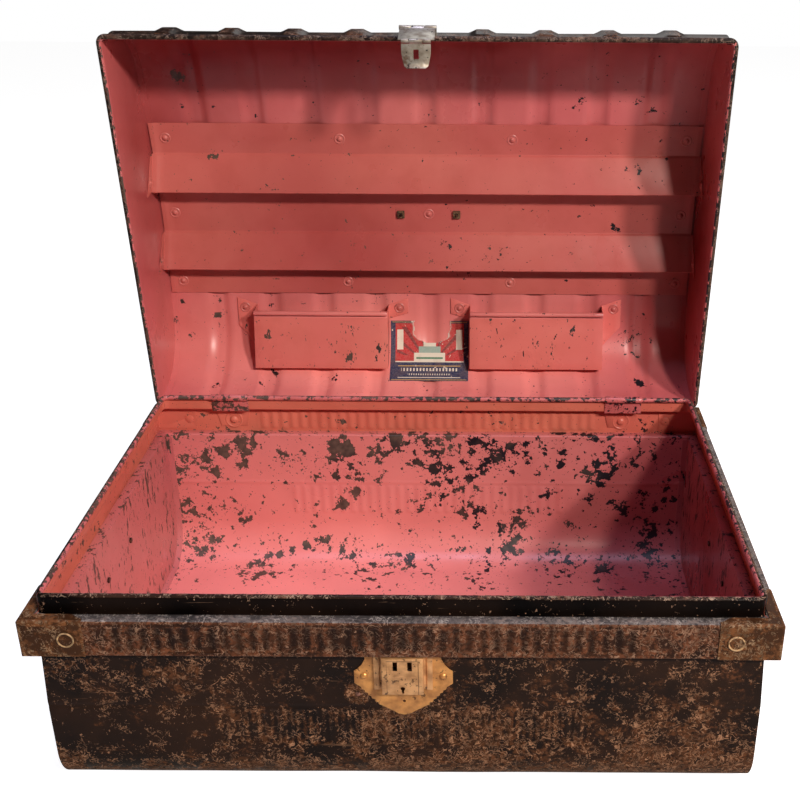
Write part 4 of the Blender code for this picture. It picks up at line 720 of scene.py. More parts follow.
# Collar: belt, shelf, upstand and rolled rim, in four strips mitred at the corners.
# The belt's face is fluted at the front and back and has rusted brown, the shelf is rubbed bare,
# the upstand and rim are black outside and pink inside, and the rim is rolled over a wire.
WIRE_CURL = 0.0029
SHELF_WIDE = 0.014
UPSTAND_IN = SHELF_WIDE + 0.0004
CURL_IN = SHELF_WIDE + SHEET / 2 + WIRE_CURL
CURL_Z = RIM_Z - WIRE_CURL - SHEET / 2
BELT_RUST = black_japan(
    "belt_rust", 0.53, (0.020, 0.0080, 0.0040), (0.098, 0.037, 0.018), (0.38, 0.22, 0.14), 0.53
)
SHELF_BARE = black_japan(
    "shelf_bare", 0.50, (0.034, 0.030, 0.028), (0.125, 0.100, 0.086), (0.46, 0.40, 0.34), 0.58, shine=0.6
)
RIM_BLACK = black_japan(
    "rim_black", 0.25, (0.0014, 0.0009, 0.0008), (0.028, 0.014, 0.009), marks=0.37, shine=0.06
)
RIM_EDGE = black_japan(
    "rim_edge", 0.40, (0.006, 0.004, 0.003), (0.120, 0.058, 0.038), (0.50, 0.34, 0.24), 0.50
)
# The collar's pink is a lighter, warmer copy of the pink, as painted light.
PINK_COLLAR = pink_paint("pink_paint_collar", 0.665, 0.34, tint=(1.09, 1.11, 0.78), dark=0.3)
PINK_RIM = pink_paint("pink_paint_rims", 0.535, 0.34, scale=130.0, tint=(1.05, 1.08, 1.08), dark=0.4)

BELT_FACE_LOW, BELT_FACE_HIGH = 0.1945, 0.228
belt_in = 0.0004
foot_z, shelf_z = BODY_HEIGHT + 0.0004, SHELF_Z - 0.0004
collar_path = rounded([(0.006, foot_z), (belt_in, foot_z), (belt_in, BELT_FACE_LOW)], 0.0014)
collar_path += [Vector((belt_in, 0.1950 + 0.0016 * step)) for step in range(20)]
collar_path += rounded(
    [(belt_in, 0.2268), (belt_in, shelf_z), (UPSTAND_IN, shelf_z), (UPSTAND_IN, 0.2350)], 0.0018
)
collar_path += [Vector((UPSTAND_IN, 0.2385)), Vector((UPSTAND_IN, 0.2430))]
collar_path += arc((CURL_IN, CURL_Z), WIRE_CURL, 180, -80, 16)
STRAP_X = 0.271
STRAP_SPOTS = (-STRAP_X, STRAP_X)
STRAP_HALF = 0.032


def under_strap(x):
    """1 where a hinge strap's leaf lies on the belt."""
    return any(abs(x - spot) < STRAP_HALF for spot in STRAP_SPOTS)


CORNER_ROUND, ROUND_STEPS, ROUND_FADE = 0.011, 5, 0.006
COLLAR_CORNER = (BELT_X - SHELF_WIDE, BELT_Y - SHELF_WIDE)
MITRE_FROM = 0.030
BELT_FOOT, SHELF_FACE, ROLL_FOOT, ROLL_CROWN = 0.1925, 0.2302, 0.2466, 0.2505


def soften_corners(bm, corner, weigh, stand=Matrix()):
    """Round a rim's four corners in plan, as much as its height asks; the rim stands by a matrix."""
    bmesh.ops.transform(bm, matrix=stand.inverted(), verts=bm.verts[:])
    for axis in (0, 1):
        for step in range(1, ROUND_STEPS + 1):
            for way in (-1, 1):
                spot, normal = Vector(), Vector()
                spot[axis] = way * (corner[axis] - CORNER_ROUND * step / ROUND_STEPS)
                normal[axis] = 1.0
                everything = bm.verts[:] + bm.edges[:] + bm.faces[:]
                bmesh.ops.bisect_plane(bm, geom=everything, dist=0.00002, plane_co=spot, plane_no=normal)
    for vert in bm.verts:
        over = [abs(vert.co[axis]) - corner[axis] + CORNER_ROUND for axis in (0, 1)]
        if min(over) <= 0:
            continue
        square = max(over)
        fade = 1 - smoothly(CORNER_ROUND, CORNER_ROUND + ROUND_FADE, square)
        drawn_in = (1 - square / math.hypot(*over)) * fade
        for axis in (0, 1):
            vert.co[axis] -= math.copysign(over[axis] * drawn_in * weigh(vert.co.z), vert.co[axis])
    bmesh.ops.transform(bm, matrix=stand, verts=bm.verts[:])


def collar_weight(z):
    """Corners of the upstand and its rim are rounded, the shelf and belt stay square."""
    return min(max((z - SHELF_Z + 0.001) / 0.003, 0.0), 1.0)


def build_collar(name, along_x, side):
    """One strip of the collar, pressed, curled and mitred."""
    half = BELT_X if along_x else BELT_Y
    across_half = BELT_Y if along_x else BELT_X
    columns = [-half + step * 2 * half / 48 for step in range(49)]
    if along_x:
        left, count = BELT_FLUTES[:2]
        right = left + count * FLUTE_PITCH
        columns = [-half] + [-half + 0.004 + 0.0105 * step for step in range(8)]
        columns += [left + FLUTE_PITCH * step / 7 for step in range(count * 7 + 1)]
        columns += [right + 0.0105 * step for step in range(1, 13)] + [half]

    def place(row, column):
        inward, z = collar_path[row]
        run = columns[column]
        near, end = half - MITRE_FROM, half - inward - 0.0003
        if abs(run) > near:
            run = math.copysign(near + (abs(run) - near) * (end - near) / MITRE_FROM, run)
        if along_x and not (side > 0 and under_strap(run)):
            inward += flute_at(BELT_FLUTES, run, z) * FLUTE_DEEP * 0.9
        if BELT_FACE_LOW < z < BELT_FACE_HIGH:
            inward += max(dent(run, side, z, 0.0005) + 0.0002, 0.0)
        out = side * (across_half - inward)
        return Vector((run, out, z)) if along_x else Vector((out, run, z))

    def wear(row, column):
        inward, z = collar_path[row]
        ridge = flute_at(BELT_FLUTES, columns[column], z) if along_x else 0.0
        edge = smoothly(0.227, 0.2308, z) * (1 - smoothly(0.002, 0.006, inward))
        edge = max(edge, smoothly(0.195, 0.1905, z) * 0.6)
        bead = smoothly(0.2495, 0.2530, z) * 0.7
        return max(edge, bead, (1 - ridge) * 0.35 if 0.196 < z < 0.226 else 0.0)

    def pick(centre, normal):
        """0 belt, 1 shelf, 2 black upstand, 3 inside, 4 the roll's inside, 5 its crown."""
        out = normal.y * side if along_x else normal.x * side
        spot = across_half - abs(centre.y if along_x else centre.x)
        if centre.z > ROLL_FOOT:
            return 4 if out < -0.2 else (5 if centre.z > ROLL_CROWN else 2)
        if out > 0.5:
            return 0 if centre.z < SHELF_Z else 2
        if normal.z > 0.5 and centre.z > SHELF_FACE:
            return 1
        if centre.z < BELT_FOOT and normal.z < 0:
            return 0
        return 3 if spot > 0.0002 else 0

    # Dark flute bottoms on the belt: partly black paint left in them, partly painted shade.
    def trough(row, column):
        inward, z = collar_path[row]
        return smoothly(0.25, 0.85, flute_at(BELT_FLUTES, columns[column], z)) if along_x else 0.0

    bm = pressed_sheet(len(collar_path), len(columns), place, wear, trough)
    soften_corners(bm, COLLAR_CORNER, collar_weight)
    finishes = [BELT_RUST, SHELF_BARE, RIM_BLACK, PINK_COLLAR, PINK_RIM, RIM_EDGE]
    finish_piece(name + "_strip", bm, finishes, "base", [name], SHEET, pick=pick)


for name, along_x, side in (
    ("collar_front", True, -1), ("collar_back", True, 1),
    ("collar_left", False, -1), ("collar_right", False, 1),
):
    build_collar(name, along_x, side)


# Corner caps on the belt.
# Each is a plate of browned steel wrapped round a corner, with a flap turned in over the shelf and
# one large dished rivet through the belt on the long side.
CAP_RUN = 0.065
TRUNK_HALF = 0.380
CAP_RIVET_X, CAP_RIVET_UP = TRUNK_HALF - 0.047, 0.0205
CAP_FACE_Y = 0.2575
CAP_RING_DEEP, CAP_RING_RADIUS, CAP_RING_WIDE = 0.0005, 0.0105, 0.0016
CAP_RUST = black_japan(
    "cap_rust", 0.52, (0.044, 0.017, 0.0065), (0.110, 0.046, 0.018), (0.40, 0.26, 0.15), 0.45
)
RIVET_GOLD = black_japan(
    "rivet_bright", 0.60, (0.200, 0.120, 0.060), (0.420, 0.280, 0.150), (0.62, 0.46, 0.27), 0.52
)


def build_cap(label, side_x, side_y):
    """Cap folded round a corner, with rounded bends and a curved flap."""
    out_x, out_y = BELT_X + GAP + SHEET / 2, BELT_Y + GAP + SHEET / 2
    top = SHELF_Z + GAP + SHEET / 2
    runs = [CAP_RUN - 0.0012 - step * 0.0026 for step in range(25)]
    runs = [run for run in runs if run > 0.0025] + [0.0022, 0.0012]
    heights = [BODY_HEIGHT + 0.0002 + 0.004 * step for step in range(10)]
    heights += [top - 0.0022, top - 0.0010, top - 0.0003]
    inner = [0.0004, 0.0012, 0.0026, 0.005, 0.0075, 0.0100, 0.0118]
    path = [("x", run) for run in runs] + [("corner", 0.0)] + [("y", run) for run in reversed(runs)]

    def place(row, column):
        leg, run = path[column]
        if row < len(heights):
            z = heights[row]
            depth = {len(heights) - 2: 0.0003, len(heights) - 1: 0.0010}.get(row, 0.0)
        else:
            depth, z = inner[row - len(heights)] + 0.0012, top
        ease = smoothly(0.0, 0.016, CAP_RUN - run)
        share = 0.30 + 0.70 * ease
        depth = depth if depth < 0.0015 else 0.0015 + (depth - 0.0015) * share
        lip = 0.0008 if leg == "corner" else 0.0
        along = max(run, depth + lip)
        if leg == "x":
            x, y = out_x - along, out_y - depth
        elif leg == "y":
            x, y = out_x - depth, out_y - along
        else:
            x, y = out_x - depth - 0.0004, out_y - depth - 0.0004
        if leg == "x" and row < len(heights):
            spot = math.hypot(x - CAP_RIVET_X, z - (BODY_HEIGHT + CAP_RIVET_UP))
            y -= CAP_RING_DEEP * math.exp(-((spot - CAP_RING_RADIUS) / CAP_RING_WIDE) ** 2)
        return Vector((side_x * x, side_y * y, z))

    def wear(row, column):
        leg, run = path[column]
        # The cap's long edge is lightened strongly: rubbed wear, and partly a painted highlight along the
        # edge.
        edge = 2.4 * smoothly(CAP_RUN - 0.0045, CAP_RUN, run)
        bend_wear = 1.0 if len(heights) - 3 <= row <= len(heights) + 1 else 0.0
        return max(edge, bend_wear, 0.8 * smoothly(0.006, 0.0, run))

    bm = pressed_sheet(len(heights) + len(inner), len(path), place, wear)
    bmesh.ops.remove_doubles(bm, verts=bm.verts[:], dist=0.00005)
    finish_piece("cap_" + label, bm, [CAP_RUST], "base", ["corner_cap_" + label], SHEET)


def turned(profile, steps, place, axis):
    """Spin a flat profile, as (radius, height), into a closed piece that stands on an axis."""
    bm, _ = new_shape()
    verts = [bm.verts.new((radius, 0.0, height)) for radius, height in profile]
    edges = [bm.edges.new(pair) for pair in zip(verts, verts[1:])]
    bmesh.ops.spin(
        bm, geom=verts + edges, cent=(0, 0, 0), axis=(0, 0, 1), angle=2 * math.pi, steps=steps, use_merge=True
    )
    bmesh.ops.remove_doubles(bm, verts=bm.verts[:], dist=0.000005)
    stand = Vector(axis).to_track_quat("Z", "Y").to_matrix().to_4x4()
    bmesh.ops.transform(bm, matrix=Matrix.Translation(place) @ stand, verts=bm.verts[:])
    bmesh.ops.recalc_face_normals(bm, faces=bm.faces[:])
    return bm


CAP_RIVET = [
    (0.0, 0.0006), (0.0045, 0.0005), (0.0069, 0.0004), (0.0074, 0.0012), (0.0079, 0.0015), (0.0084, 0.0012),
    (0.0086, 0.0004), (0.0086, 0.0), (0.0020, 0.0), (0.0020, -0.0036), (0.0055, -0.0036), (0.0060, -0.0042),
    (0.0045, -0.0050), (0.0, -0.0052),
]
CAP_RIVET_RING = 0.0070
CORNERS = {"front_left": (-1, -1), "front_right": (1, -1), "back_left": (-1, 1), "back_right": (1, 1)}
for label, (side_x, side_y) in CORNERS.items():
    build_cap(label, side_x, side_y)
    rivet_place = (side_x * CAP_RIVET_X, side_y * (CAP_FACE_Y + GAP), BODY_HEIGHT + CAP_RIVET_UP)
    bm = turned(CAP_RIVET, 32, rivet_place, (0, side_y, 0))

    def rivet_finish(centre, normal):
        """Dark dished face, bright raised ring, and a painted tail inside."""
        away = math.hypot(centre.x - rivet_place[0], centre.z - rivet_place[2])
        if (centre.y - rivet_place[1]) * side_y < -0.0005:
            return 2
        return int(away > CAP_RIVET_RING)

    finish_piece(
        "cap_rivet_" + label, bm, [CAP_RUST, RIVET_GOLD, PINK_COLLAR], "base",
        ["corner_rivet_" + label], pick=rivet_finish,
    )


# Corner patches inside the belt.
# Small angle plates that back the corner rivets, painted over with the inside.
def dressed(name, node, finishes, body, bevel, pick=None, angle=35.0, reshape=None):
    """Refinish a solid that keeps its shape: merge its faces, ease its edges, and paint it."""
    bm, _ = new_shape()
    bm.from_mesh(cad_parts[node].data)
    bmesh.ops.remove_doubles(bm, verts=bm.verts[:], dist=0.00001)
    bmesh.ops.dissolve_limit(
        bm, angle_limit=math.radians(1.0), use_dissolve_boundaries=False, verts=bm.verts[:], edges=bm.edges[:]
    )
    if reshape:
        reshape(bm)
    finish_piece(name, bm, finishes, body, [node], bevel=bevel, pick=pick, angle=angle)


for label in CORNERS:
    dressed("patch_" + label, "corner_patch_" + label, [PINK_COLLAR], "base", 0.0003)


# Hinge straps.
# Steel straps riveted inside the belt, bent over the rolled rim and round the lid's own rim wire.
# The leaf is painted with the inside and has a ring embossed round its big domed rivet.
DARK_STEEL = black_japan(
    "dark_steel", 0.52, (0.030, 0.024, 0.022), (0.095, 0.055, 0.036), (0.20, 0.14, 0.10), 0.50, metal=0.6
)
STRAP_RIVET = [
    (0.0, 0.0030), (0.0022, 0.0027), (0.0040, 0.0019), (0.0052, 0.0008), (0.0056, 0.0), (0.0020, 0.0),
    (0.0020, -0.0026), (0.0048, -0.0026), (0.0042, -0.0036), (0.0, -0.0040),
]
STRAP_RING = [
    (0.0095, 0.0), (0.0102, 0.0005), (0.0110, 0.0007), (0.0118, 0.0005), (0.0125, 0.0), (0.0095, 0.0),
]
STRAP_RIVET_UP = 0.0195
LEAF_TOP_Z, STRAP_BACK_Y = 0.2300, 0.2400


def strap_finish(centre, normal):
    """Pink on the leaf, worn pink over the rim, and bare dark steel on the back."""
    if centre.z < LEAF_TOP_Z:
        return 0
    return 2 if normal.y > 0.5 and centre.y > STRAP_BACK_Y else 1


strap_y = BELT_Y - SHEET - GAP - 0.0010
for side, label in SIDES:
    finishes = [PINK_COLLAR, PINK_RIM, DARK_STEEL]
    dressed("strap_" + label, "hinge_strap_" + label, finishes, "base", 0.0002, strap_finish)
    spot = (side * STRAP_X, strap_y - GAP, BODY_HEIGHT + STRAP_RIVET_UP)
    bm = turned(STRAP_RIVET, 24, spot, (0, -1, 0))
    finish_piece(
        "strap_boss_" + label, bm, [PINK_COLLAR, BELT_RUST], "base", ["strap_rivet_" + label],
        pick=lambda centre, normal: int(centre.y > BELT_Y - SHEET / 2),
    )
    bm = turned(STRAP_RING, 32, (spot[0], strap_y + 0.00005, spot[2]), (0, -1, 0))
    finish_piece("strap_ring_" + label, bm, [PINK_COLLAR], "base")


# Lid shell: dome, front and back skirt in one sheet with nine raised ribs.
# It is japanned black outside and pink inside, its long edges are rolled outwards over a wire, and
# the back roll is notched where the hinge straps hold the wire.
LID_OPEN = math.radians(84.0)
HINGE = Vector((0.0, 0.2476, 0.2358))
LID_REACH = 0.4969
LID_DEPTH = 0.1324
LID_SKIRT = 0.034
LID_CORNER = 0.084
LID_WALL_X = 0.3689
DOME_HALF = LID_REACH / 2 - WIRE_CURL
DOME_T = DOME_HALF - LID_CORNER
DOME_RISE = LID_DEPTH - LID_SKIRT
CROWN = (DOME_T ** 2 + DOME_RISE ** 2 - LID_CORNER ** 2) / (2 * (DOME_RISE - LID_CORNER))
CROWN_Z = LID_DEPTH - CROWN
CROWN_SLOPE = math.degrees(math.atan2(DOME_T, LID_SKIRT - CROWN_Z))
RIB_PITCH = 0.0754
RIB_HALF = 0.0165
RIB_CREST = 0.0065
RIB_HIGH = 0.0042
RIB_FROM, RIB_FULL = 0.008, 0.019
ROLL_HIGH = 0.004
DARK_ROLL_Y = -0.3
LID_PLACE = Matrix.Translation(HINGE) @ Matrix.Rotation(-LID_OPEN, 4, "X")
LID_BACK = LID_PLACE.inverted()
JAPAN_LID = black_japan("black_japan_lid", marks=0.44)
LID_EDGE = black_japan(
    "lid_edge", 0.42, (0.0080, 0.0055, 0.0048), (0.072, 0.040, 0.028), (0.36, 0.26, 0.20), 0.48, 0.65
)


def dome_half(inset):
    """Half of the dome's section, from the skirt's top to the crown."""
    made = arc((DOME_T, LID_SKIRT), LID_CORNER - inset, 0, 90 - CROWN_SLOPE, 18)
    return made + arc((0.0, CROWN_Z), CROWN - inset, 90 - CROWN_SLOPE, 90, 10)[1:]


def dome_at(forward, inset=0.0):
    """Height of the dome above the rim plane, forward of the hinge."""
    run = abs(LID_REACH / 2 - forward)
    if run <= (CROWN - inset) * math.sin(math.radians(CROWN_SLOPE)):
        return CROWN_Z + math.sqrt((CROWN - inset) ** 2 - run ** 2)
    return LID_SKIRT + math.sqrt(max((LID_CORNER - inset) ** 2 - (run - DOME_T) ** 2, 0.0))


def dome_out(run, height):
    """Unit direction out of the dome at a point of its section."""
    if abs(run) > DOME_T and height <= LID_SKIRT:
        return Vector((math.copysign(1.0, run), 0.0))
    centre = Vector((0.0, CROWN_Z))
    if abs(run) > CROWN * math.sin(math.radians(CROWN_SLOPE)):
        centre = Vector((math.copysign(DOME_T, run), LID_SKIRT))
    return (Vector((run, height)) - centre).normalized()


def rib_at(x):
    """Height of the ribs' pressing at x, from 0 to 1."""
    middle = round(x / RIB_PITCH) * RIB_PITCH
    if abs(middle) > 4.5 * RIB_PITCH:
        return 0.0
    return 1 - smoothly(RIB_CREST, RIB_HALF, abs(x - middle))


NOTCH_HALF = 0.026
NOTCH_HIGH = 0.0056
SKIRT_HEIGHTS = (0.0028, NOTCH_HIGH, 0.009, 0.012, 0.015, 0.018, 0.022, 0.028)
ROLL_FROM_X = 0.3440
lid_half = arc((DOME_HALF + WIRE_CURL, 0.0), WIRE_CURL, 440, 180, 14)
lid_half += [Vector((DOME_HALF, height)) for height in SKIRT_HEIGHTS] + dome_half(0.0)
lid_path = lid_half + mirrored(lid_half[:-1])
lid_columns = [-4 * RIB_PITCH - RIB_HALF + step * RIB_PITCH / 16 for step in range(8 * 16 + 8)]
for way in (-1, 1):
    lid_columns += [way * x for x in (LID_WALL_X, 0.3640, 0.3560, ROLL_FROM_X, 0.3340, 0.3240)]
for spot in STRAP_SPOTS:
    lid_columns += [spot - NOTCH_HALF, spot + NOTCH_HALF]
lid_columns = sorted(lid_columns)


def place_lid(row, column):
    """Point of the shell, shut and in the lid's own frame, then swung open."""
    run, height = lid_path[row]
    x = lid_columns[column]
    out = dome_out(run, height)
    rib = rib_at(x) * smoothly(RIB_FROM, RIB_FULL, height)
    if abs(x) < RIB_PITCH / 2 and run < 0:
        rib *= smoothly(LID_SKIRT, LID_SKIRT + 0.022, height)
    rise = rib * RIB_HIGH
    if height > 0.02:
        rise -= max(0.0003 + dent(x, run, height, 0.0006, 7.0), 0.0)
    rolled = abs(run) - DOME_HALF - 0.0006
    if abs(x) > ROLL_FROM_X and rolled > 0:
        x = math.copysign(abs(x) + rolled * (abs(x) - ROLL_FROM_X) / (LID_WALL_X - ROLL_FROM_X), x)
    spot = Vector((x, run + out.x * rise - LID_REACH / 2, height + out.y * rise))
    return LID_PLACE @ spot


def wear_lid(row, column):
    """Rubbed on the rolled edges and the ribs' crests."""
    run, height = lid_path[row]
    rolled = 0.9 if height < ROLL_HIGH else 0.0
    return max(rolled, 0.5 * smoothly(0.5, 1.0, rib_at(lid_columns[column])))


def lid_side(centre, normal):
    """0 outside, 1 on the dark rolled edge, 2 inside, 3 on the painted rolled edge."""
    spot = LID_BACK @ centre
    facing = LID_BACK.to_3x3() @ normal
    on_roll = abs(spot.y + LID_REACH / 2) > DOME_HALF + 0.0002 or abs(spot.x) > LID_WALL_X + 0.0002
    if spot.z < ROLL_HIGH and on_roll:
        return 1 if spot.y < DARK_ROLL_Y or facing.y > 0.6 else 3
    inward = facing.dot(Vector((-spot.x * 0.3, -LID_REACH / 2 - spot.y, 0.01 - spot.z)))
    return 2 if inward > 0 else 0


def round_lid_rim(bm):
    """Round the corners of the lid's rim, fading out up the skirt."""
    stand = LID_PLACE @ Matrix.Translation((0.0, -LID_REACH / 2, 0.0))
    corner = (LID_WALL_X + 2 * WIRE_CURL, LID_REACH / 2 + WIRE_CURL)
    soften_corners(bm, corner, lambda height: min(max(1 - height / LID_SKIRT, 0.0), 1.0), stand)


bm = pressed_sheet(len(lid_path), len(lid_columns), place_lid, wear_lid)
round_lid_rim(bm)
notched = []
for face in bm.faces:
    spot = LID_BACK @ face.calc_center_median()
    if spot.y > -0.02 and spot.z < NOTCH_HIGH and any(abs(spot.x - way) < NOTCH_HALF for way in STRAP_SPOTS):
        notched.append(face)
bmesh.ops.delete(bm, geom=notched, context="FACES")
LID_FINISHES = [JAPAN_LID, LID_EDGE, PINK_LID, PINK_RIM]
finish_piece("lid_shell", bm, LID_FINISHES, "lid", ["lid_wrap"], SHEET, pick=lid_side)


# Lid ends.
# Flat dome-shaped plates let in at the ends of the shell with a lap flange, their lower edge rolled
# outwards over the same wire.
def build_lid_end(side, label):
    """Plate drawn from the dome's outline, with its flange and rolled edge."""
    half = [Vector((DOME_HALF - LAP, 0.0))] + dome_half(LAP)
    outline = half + mirrored(half[:-1])
    bm, rubbed = new_shape()
    verts = [bm.verts.new((LID_WALL_X, run - LID_REACH / 2, height)) for run, height in outline]
    bm.faces.new(verts)
    flange, _ = draw_out(bm, [bm.edges.get(pair) for pair in zip(verts, verts[1:])])
    bmesh.ops.translate(bm, vec=(-END_FLANGE, 0, 0), verts=flange)
    edges = [bm.edges.get((verts[0], verts[-1]))]
    for x, z in arc((LID_WALL_X + WIRE_CURL, 0.0), WIRE_CURL, 180, 440, 14)[1:]:
        ends, edges = draw_out(bm, edges)
        run = DOME_HALF + (x - LID_WALL_X) - 0.0006
        for vert in ends:
            way = 1 if vert.co.y > -LID_REACH / 2 else -1
            vert.co = (x, way * run - LID_REACH / 2, z)
            vert[rubbed] = 0.9
    bmesh.ops.scale(bm, vec=(side, 1, 1), verts=bm.verts[:])
    bmesh.ops.transform(bm, matrix=LID_PLACE, verts=bm.verts[:])
    round_lid_rim(bm)
    bmesh.ops.recalc_face_normals(bm, faces=bm.faces[:])

    def pick(centre, normal):
        """As for the shell: 0 outside, 1 and 3 on the rolled edge, 2 inside."""
        spot = LID_BACK @ centre
        facing = LID_BACK.to_3x3() @ normal
        if abs(spot.x) > LID_WALL_X + 0.0006:
            return 1 if abs(spot.x) > LID_WALL_X + 0.8 * WIRE_CURL or facing.z > 0.3 else 3
        inward = facing.dot(Vector((-side, (-LID_REACH / 2 - spot.y) * 3, (0.03 - spot.z) * 3)))
        return 2 if inward > 0 else 0

    finish_piece(
        "lid_end_plate_" + label, bm, LID_FINISHES, "lid", ["lid_end_" + label], SHEET,
        pick=pick,
    )


for side, label in SIDES:
    build_lid_end(side, label)


# Stiffener inside the dome.
# One panel pressed with two ramps between three flanges that are riveted to the dome; the ends are
# joggled over the end plates' laps, and each ramp ends in a tab turned down the plate. Painted pink.
STIFF_CENTRE = 0.2360
STIFF_SEAT = LAP + 0.0009
STIFF_SHORT = 0.0024
RAMP_RISE = 0.031
RAMP_STEP = 0.0025
RAMP_BASE = 0.01245
RAMPS = ((-0.080, -0.032), (0.032, 0.080))
TAB_HEIGHTS = (0.021, 0.0074)
# The stiffener's pink is a darker copy, painted shade for its ramps, and carries soft spots of painted shadow
# on its left half.
PINK_STIFF = pink_paint("pink_paint_stiffener", 0.690, 0.25, tint=(0.90, 0.84, 0.74), gloss=0.25, painted_shade=[
    (-170, 340, 500, 150, 0.30), (-300, 340, 440, 120, 0.20), (-50, 340, 440, 120, 0.20),
    (-130, 340, 420, 130, 0.25),
], spots=[
    (-287, 337, 560, 12, 0.24), (-303, 336, 560, 9, 0.18), (262, 356, 462, 16, 0.20),
    (285, 335, 550, 15, 0.16), (30, 345, 425, 50, 0.08), (290, 356, 470, 10, 0.16), (100, 337, 419, 40, 0.10),
])


def seat_at(way):
    """Height of the panel's seat on the dome, at a distance forward of its own middle."""
    return dome_at(STIFF_CENTRE + way, STIFF_SEAT)


stiff_line = [(-0.122, 0.0), (-0.101, 0.0)]
for start, stop in RAMPS:
    high = seat_at(start + 0.002) - seat_at(RAMP_BASE) + RAMP_RISE
    stiff_line += [(start, 0.0), (start + 0.002, high), (stop - 0.002, RAMP_STEP), (stop, 0.0)]
    stiff_line.append((0.0 if stop < 0 else 0.101, 0.0))
stiff_line.append((0.122, 0.0))
stiff_line = [Vector((STIFF_CENTRE + way, seat_at(way) - drop)) for way, drop in stiff_line]
stiff_path = rounded(stiff_line, 0.0024, 3)
stiff_half = LID_WALL_X - STIFF_SHORT
lap_inner = LID_WALL_X - SHEET / 2 - END_FLANGE - 2 * GAP
stiff_columns = [-stiff_half, -lap_inner - 0.0030, -lap_inner, -lap_inner + 0.0020]
stiff_columns += [-0.350 + step * 0.010 for step in range(71)]
stiff_columns += [-x for x in reversed(stiff_columns[:4])]


def place_stiffener(row, column):
    """Point of the panel, joggled at its ends, with a little waviness on its ramps."""
    forward, height = stiff_path[row]
    x = stiff_columns[column]
    height -= LAP * smoothly(lap_inner - 0.0020, lap_inner + 0.0005, abs(x))
    if dome_at(forward, STIFF_SEAT) - height > 0.004:
        height += dent(x, forward, 3.0, 0.0008, 10.0)
    return LID_PLACE @ Vector((x, -forward, height))


def wear_stiffener(row, column):
    """Rubbed along the bends."""
    before = stiff_path[max(row - 1, 0)]
    after = stiff_path[min(row + 1, len(stiff_path) - 1)]
    return 0.45 if (after - before).length < 0.004 else 0.0


bm = pressed_sheet(len(stiff_path), len(stiff_columns), place_stiffener, wear_stiffener)
for way in (-1, 1):
    for start, stop in RAMPS:
        def on_ramp(vert):
            """Whether a corner lies on this end of the ramp."""
            spot = LID_BACK @ vert.co
            forward = -spot.y - STIFF_CENTRE
            return abs(spot.x - way * stiff_half) < 0.0001 and start + 0.0025 < forward < stop - 0.0010

        edges = [edge for edge in bm.edges if all(on_ramp(vert) for vert in edge.verts)]
        for turn_down in (False, True):
            tab, edges = draw_out(bm, edges)
            for vert in tab:
                share = (-(LID_BACK @ vert.co).y - STIFF_CENTRE - start) / (stop - start)
                drop = TAB_HEIGHTS[0] + (TAB_HEIGHTS[1] - TAB_HEIGHTS[0]) * share
                shift = (0, 0, -drop) if turn_down else (way * (LID_WALL_X - LAP - stiff_half), 0, 0)
                vert.co += LID_PLACE.to_3x3() @ Vector(shift)
finish_piece("stiffener", bm, [PINK_STIFF], "lid", ["lid_stiffener"], SHEET)


# Rivets inside the lid.
# Small domed rivets, painted over with the panel, hold the stiffener's flanges, its end tabs and the
# pockets' ears to the dome and the end plates.
PINK_RIVET = pink_paint("pink_paint_rivets", 0.66, 0.3, tint=(0.92, 0.96, 0.85))
LID_RIVET = [
    (0.0, 0.0026), (0.0016, 0.0024), (0.0029, 0.0015), (0.0036, 0.0004), (0.0050, 0.0002), (0.0058, 0.0006),
    (0.0065, 0.0008), (0.0071, 0.0005), (0.0076, 0.0), (0.0, -0.0002),
]
STIFF_RIVETS = {
    0.337: (-0.347, -0.115, 0.115, 0.347), 0.2305: (-0.349, 0.0015, 0.349),
    0.131: (-0.349, -0.115, 0.115, 0.349),
}
TAB_RIVETS = (-0.064, 0.048)
TAB_RIVET_DOWN = 0.008
TAB_RIVET_SHARE = 0.72
POCKET_INNER, POCKET_OUTER, POCKET_EAR = 0.0585, 0.2465, 0.028


def join_lid_rivet(bm, x, forward, height, facing):
    """Add one rivet head to a group, standing on the sheet at a spot inside the lid."""
    head = turned(LID_RIVET, 20, (0, 0, 0), (0, 0, 1))
    mesh = bpy.data.meshes.new("rivet_head")
    head.to_mesh(mesh)
    head.free()
    stand = Vector(facing).to_track_quat("Z", "Y").to_matrix().to_4x4()
    mesh.transform(LID_PLACE @ Matrix.Translation((x, -forward, height)) @ stand)
    bm.from_mesh(mesh)
    bpy.data.meshes.remove(mesh)


bm, _ = new_shape()
for forward, spots in STIFF_RIVETS.items():
    out = dome_out(LID_REACH / 2 - forward, dome_at(forward))
    for x in spots:
        join_lid_rivet(bm, x, forward, seat_at(forward - STIFF_CENTRE) - SHEET / 2, (0, -out.x, -out.y))
for side, _ in SIDES:
    for way in TAB_RIVETS:
        tab_x = side * (LID_WALL_X - LAP - SHEET / 2)
        tab_z = seat_at(way) - TAB_RIVET_SHARE * RAMP_RISE - TAB_RIVET_DOWN
        join_lid_rivet(bm, tab_x, STIFF_CENTRE + way, tab_z, (-side, 0, 0))
finish_piece("stiffener_rivets", bm, [PINK_RIVET], "lid")


# Pockets.
# Two shallow pockets of sheet riveted to the dome by an ear at each side; the front slopes out from
# the dome and its upper edge is rolled.
POCKET_MARKS = [
    (-226, 322, 317, 8, 0.22), (-227, 321, 308, 8, 0.22), (-140, 319, 305, 8, 0.20),
    (-141, 318, 295, 8, 0.20), (-118, 322, 316, 20, 0.15), (-112, 313, 279, 18, 0.22),
    (-70, 317, 290, 22, 0.18), (240, 330, 300, 20, 0.07), (100, 320, 305, 30, 0.10),
]
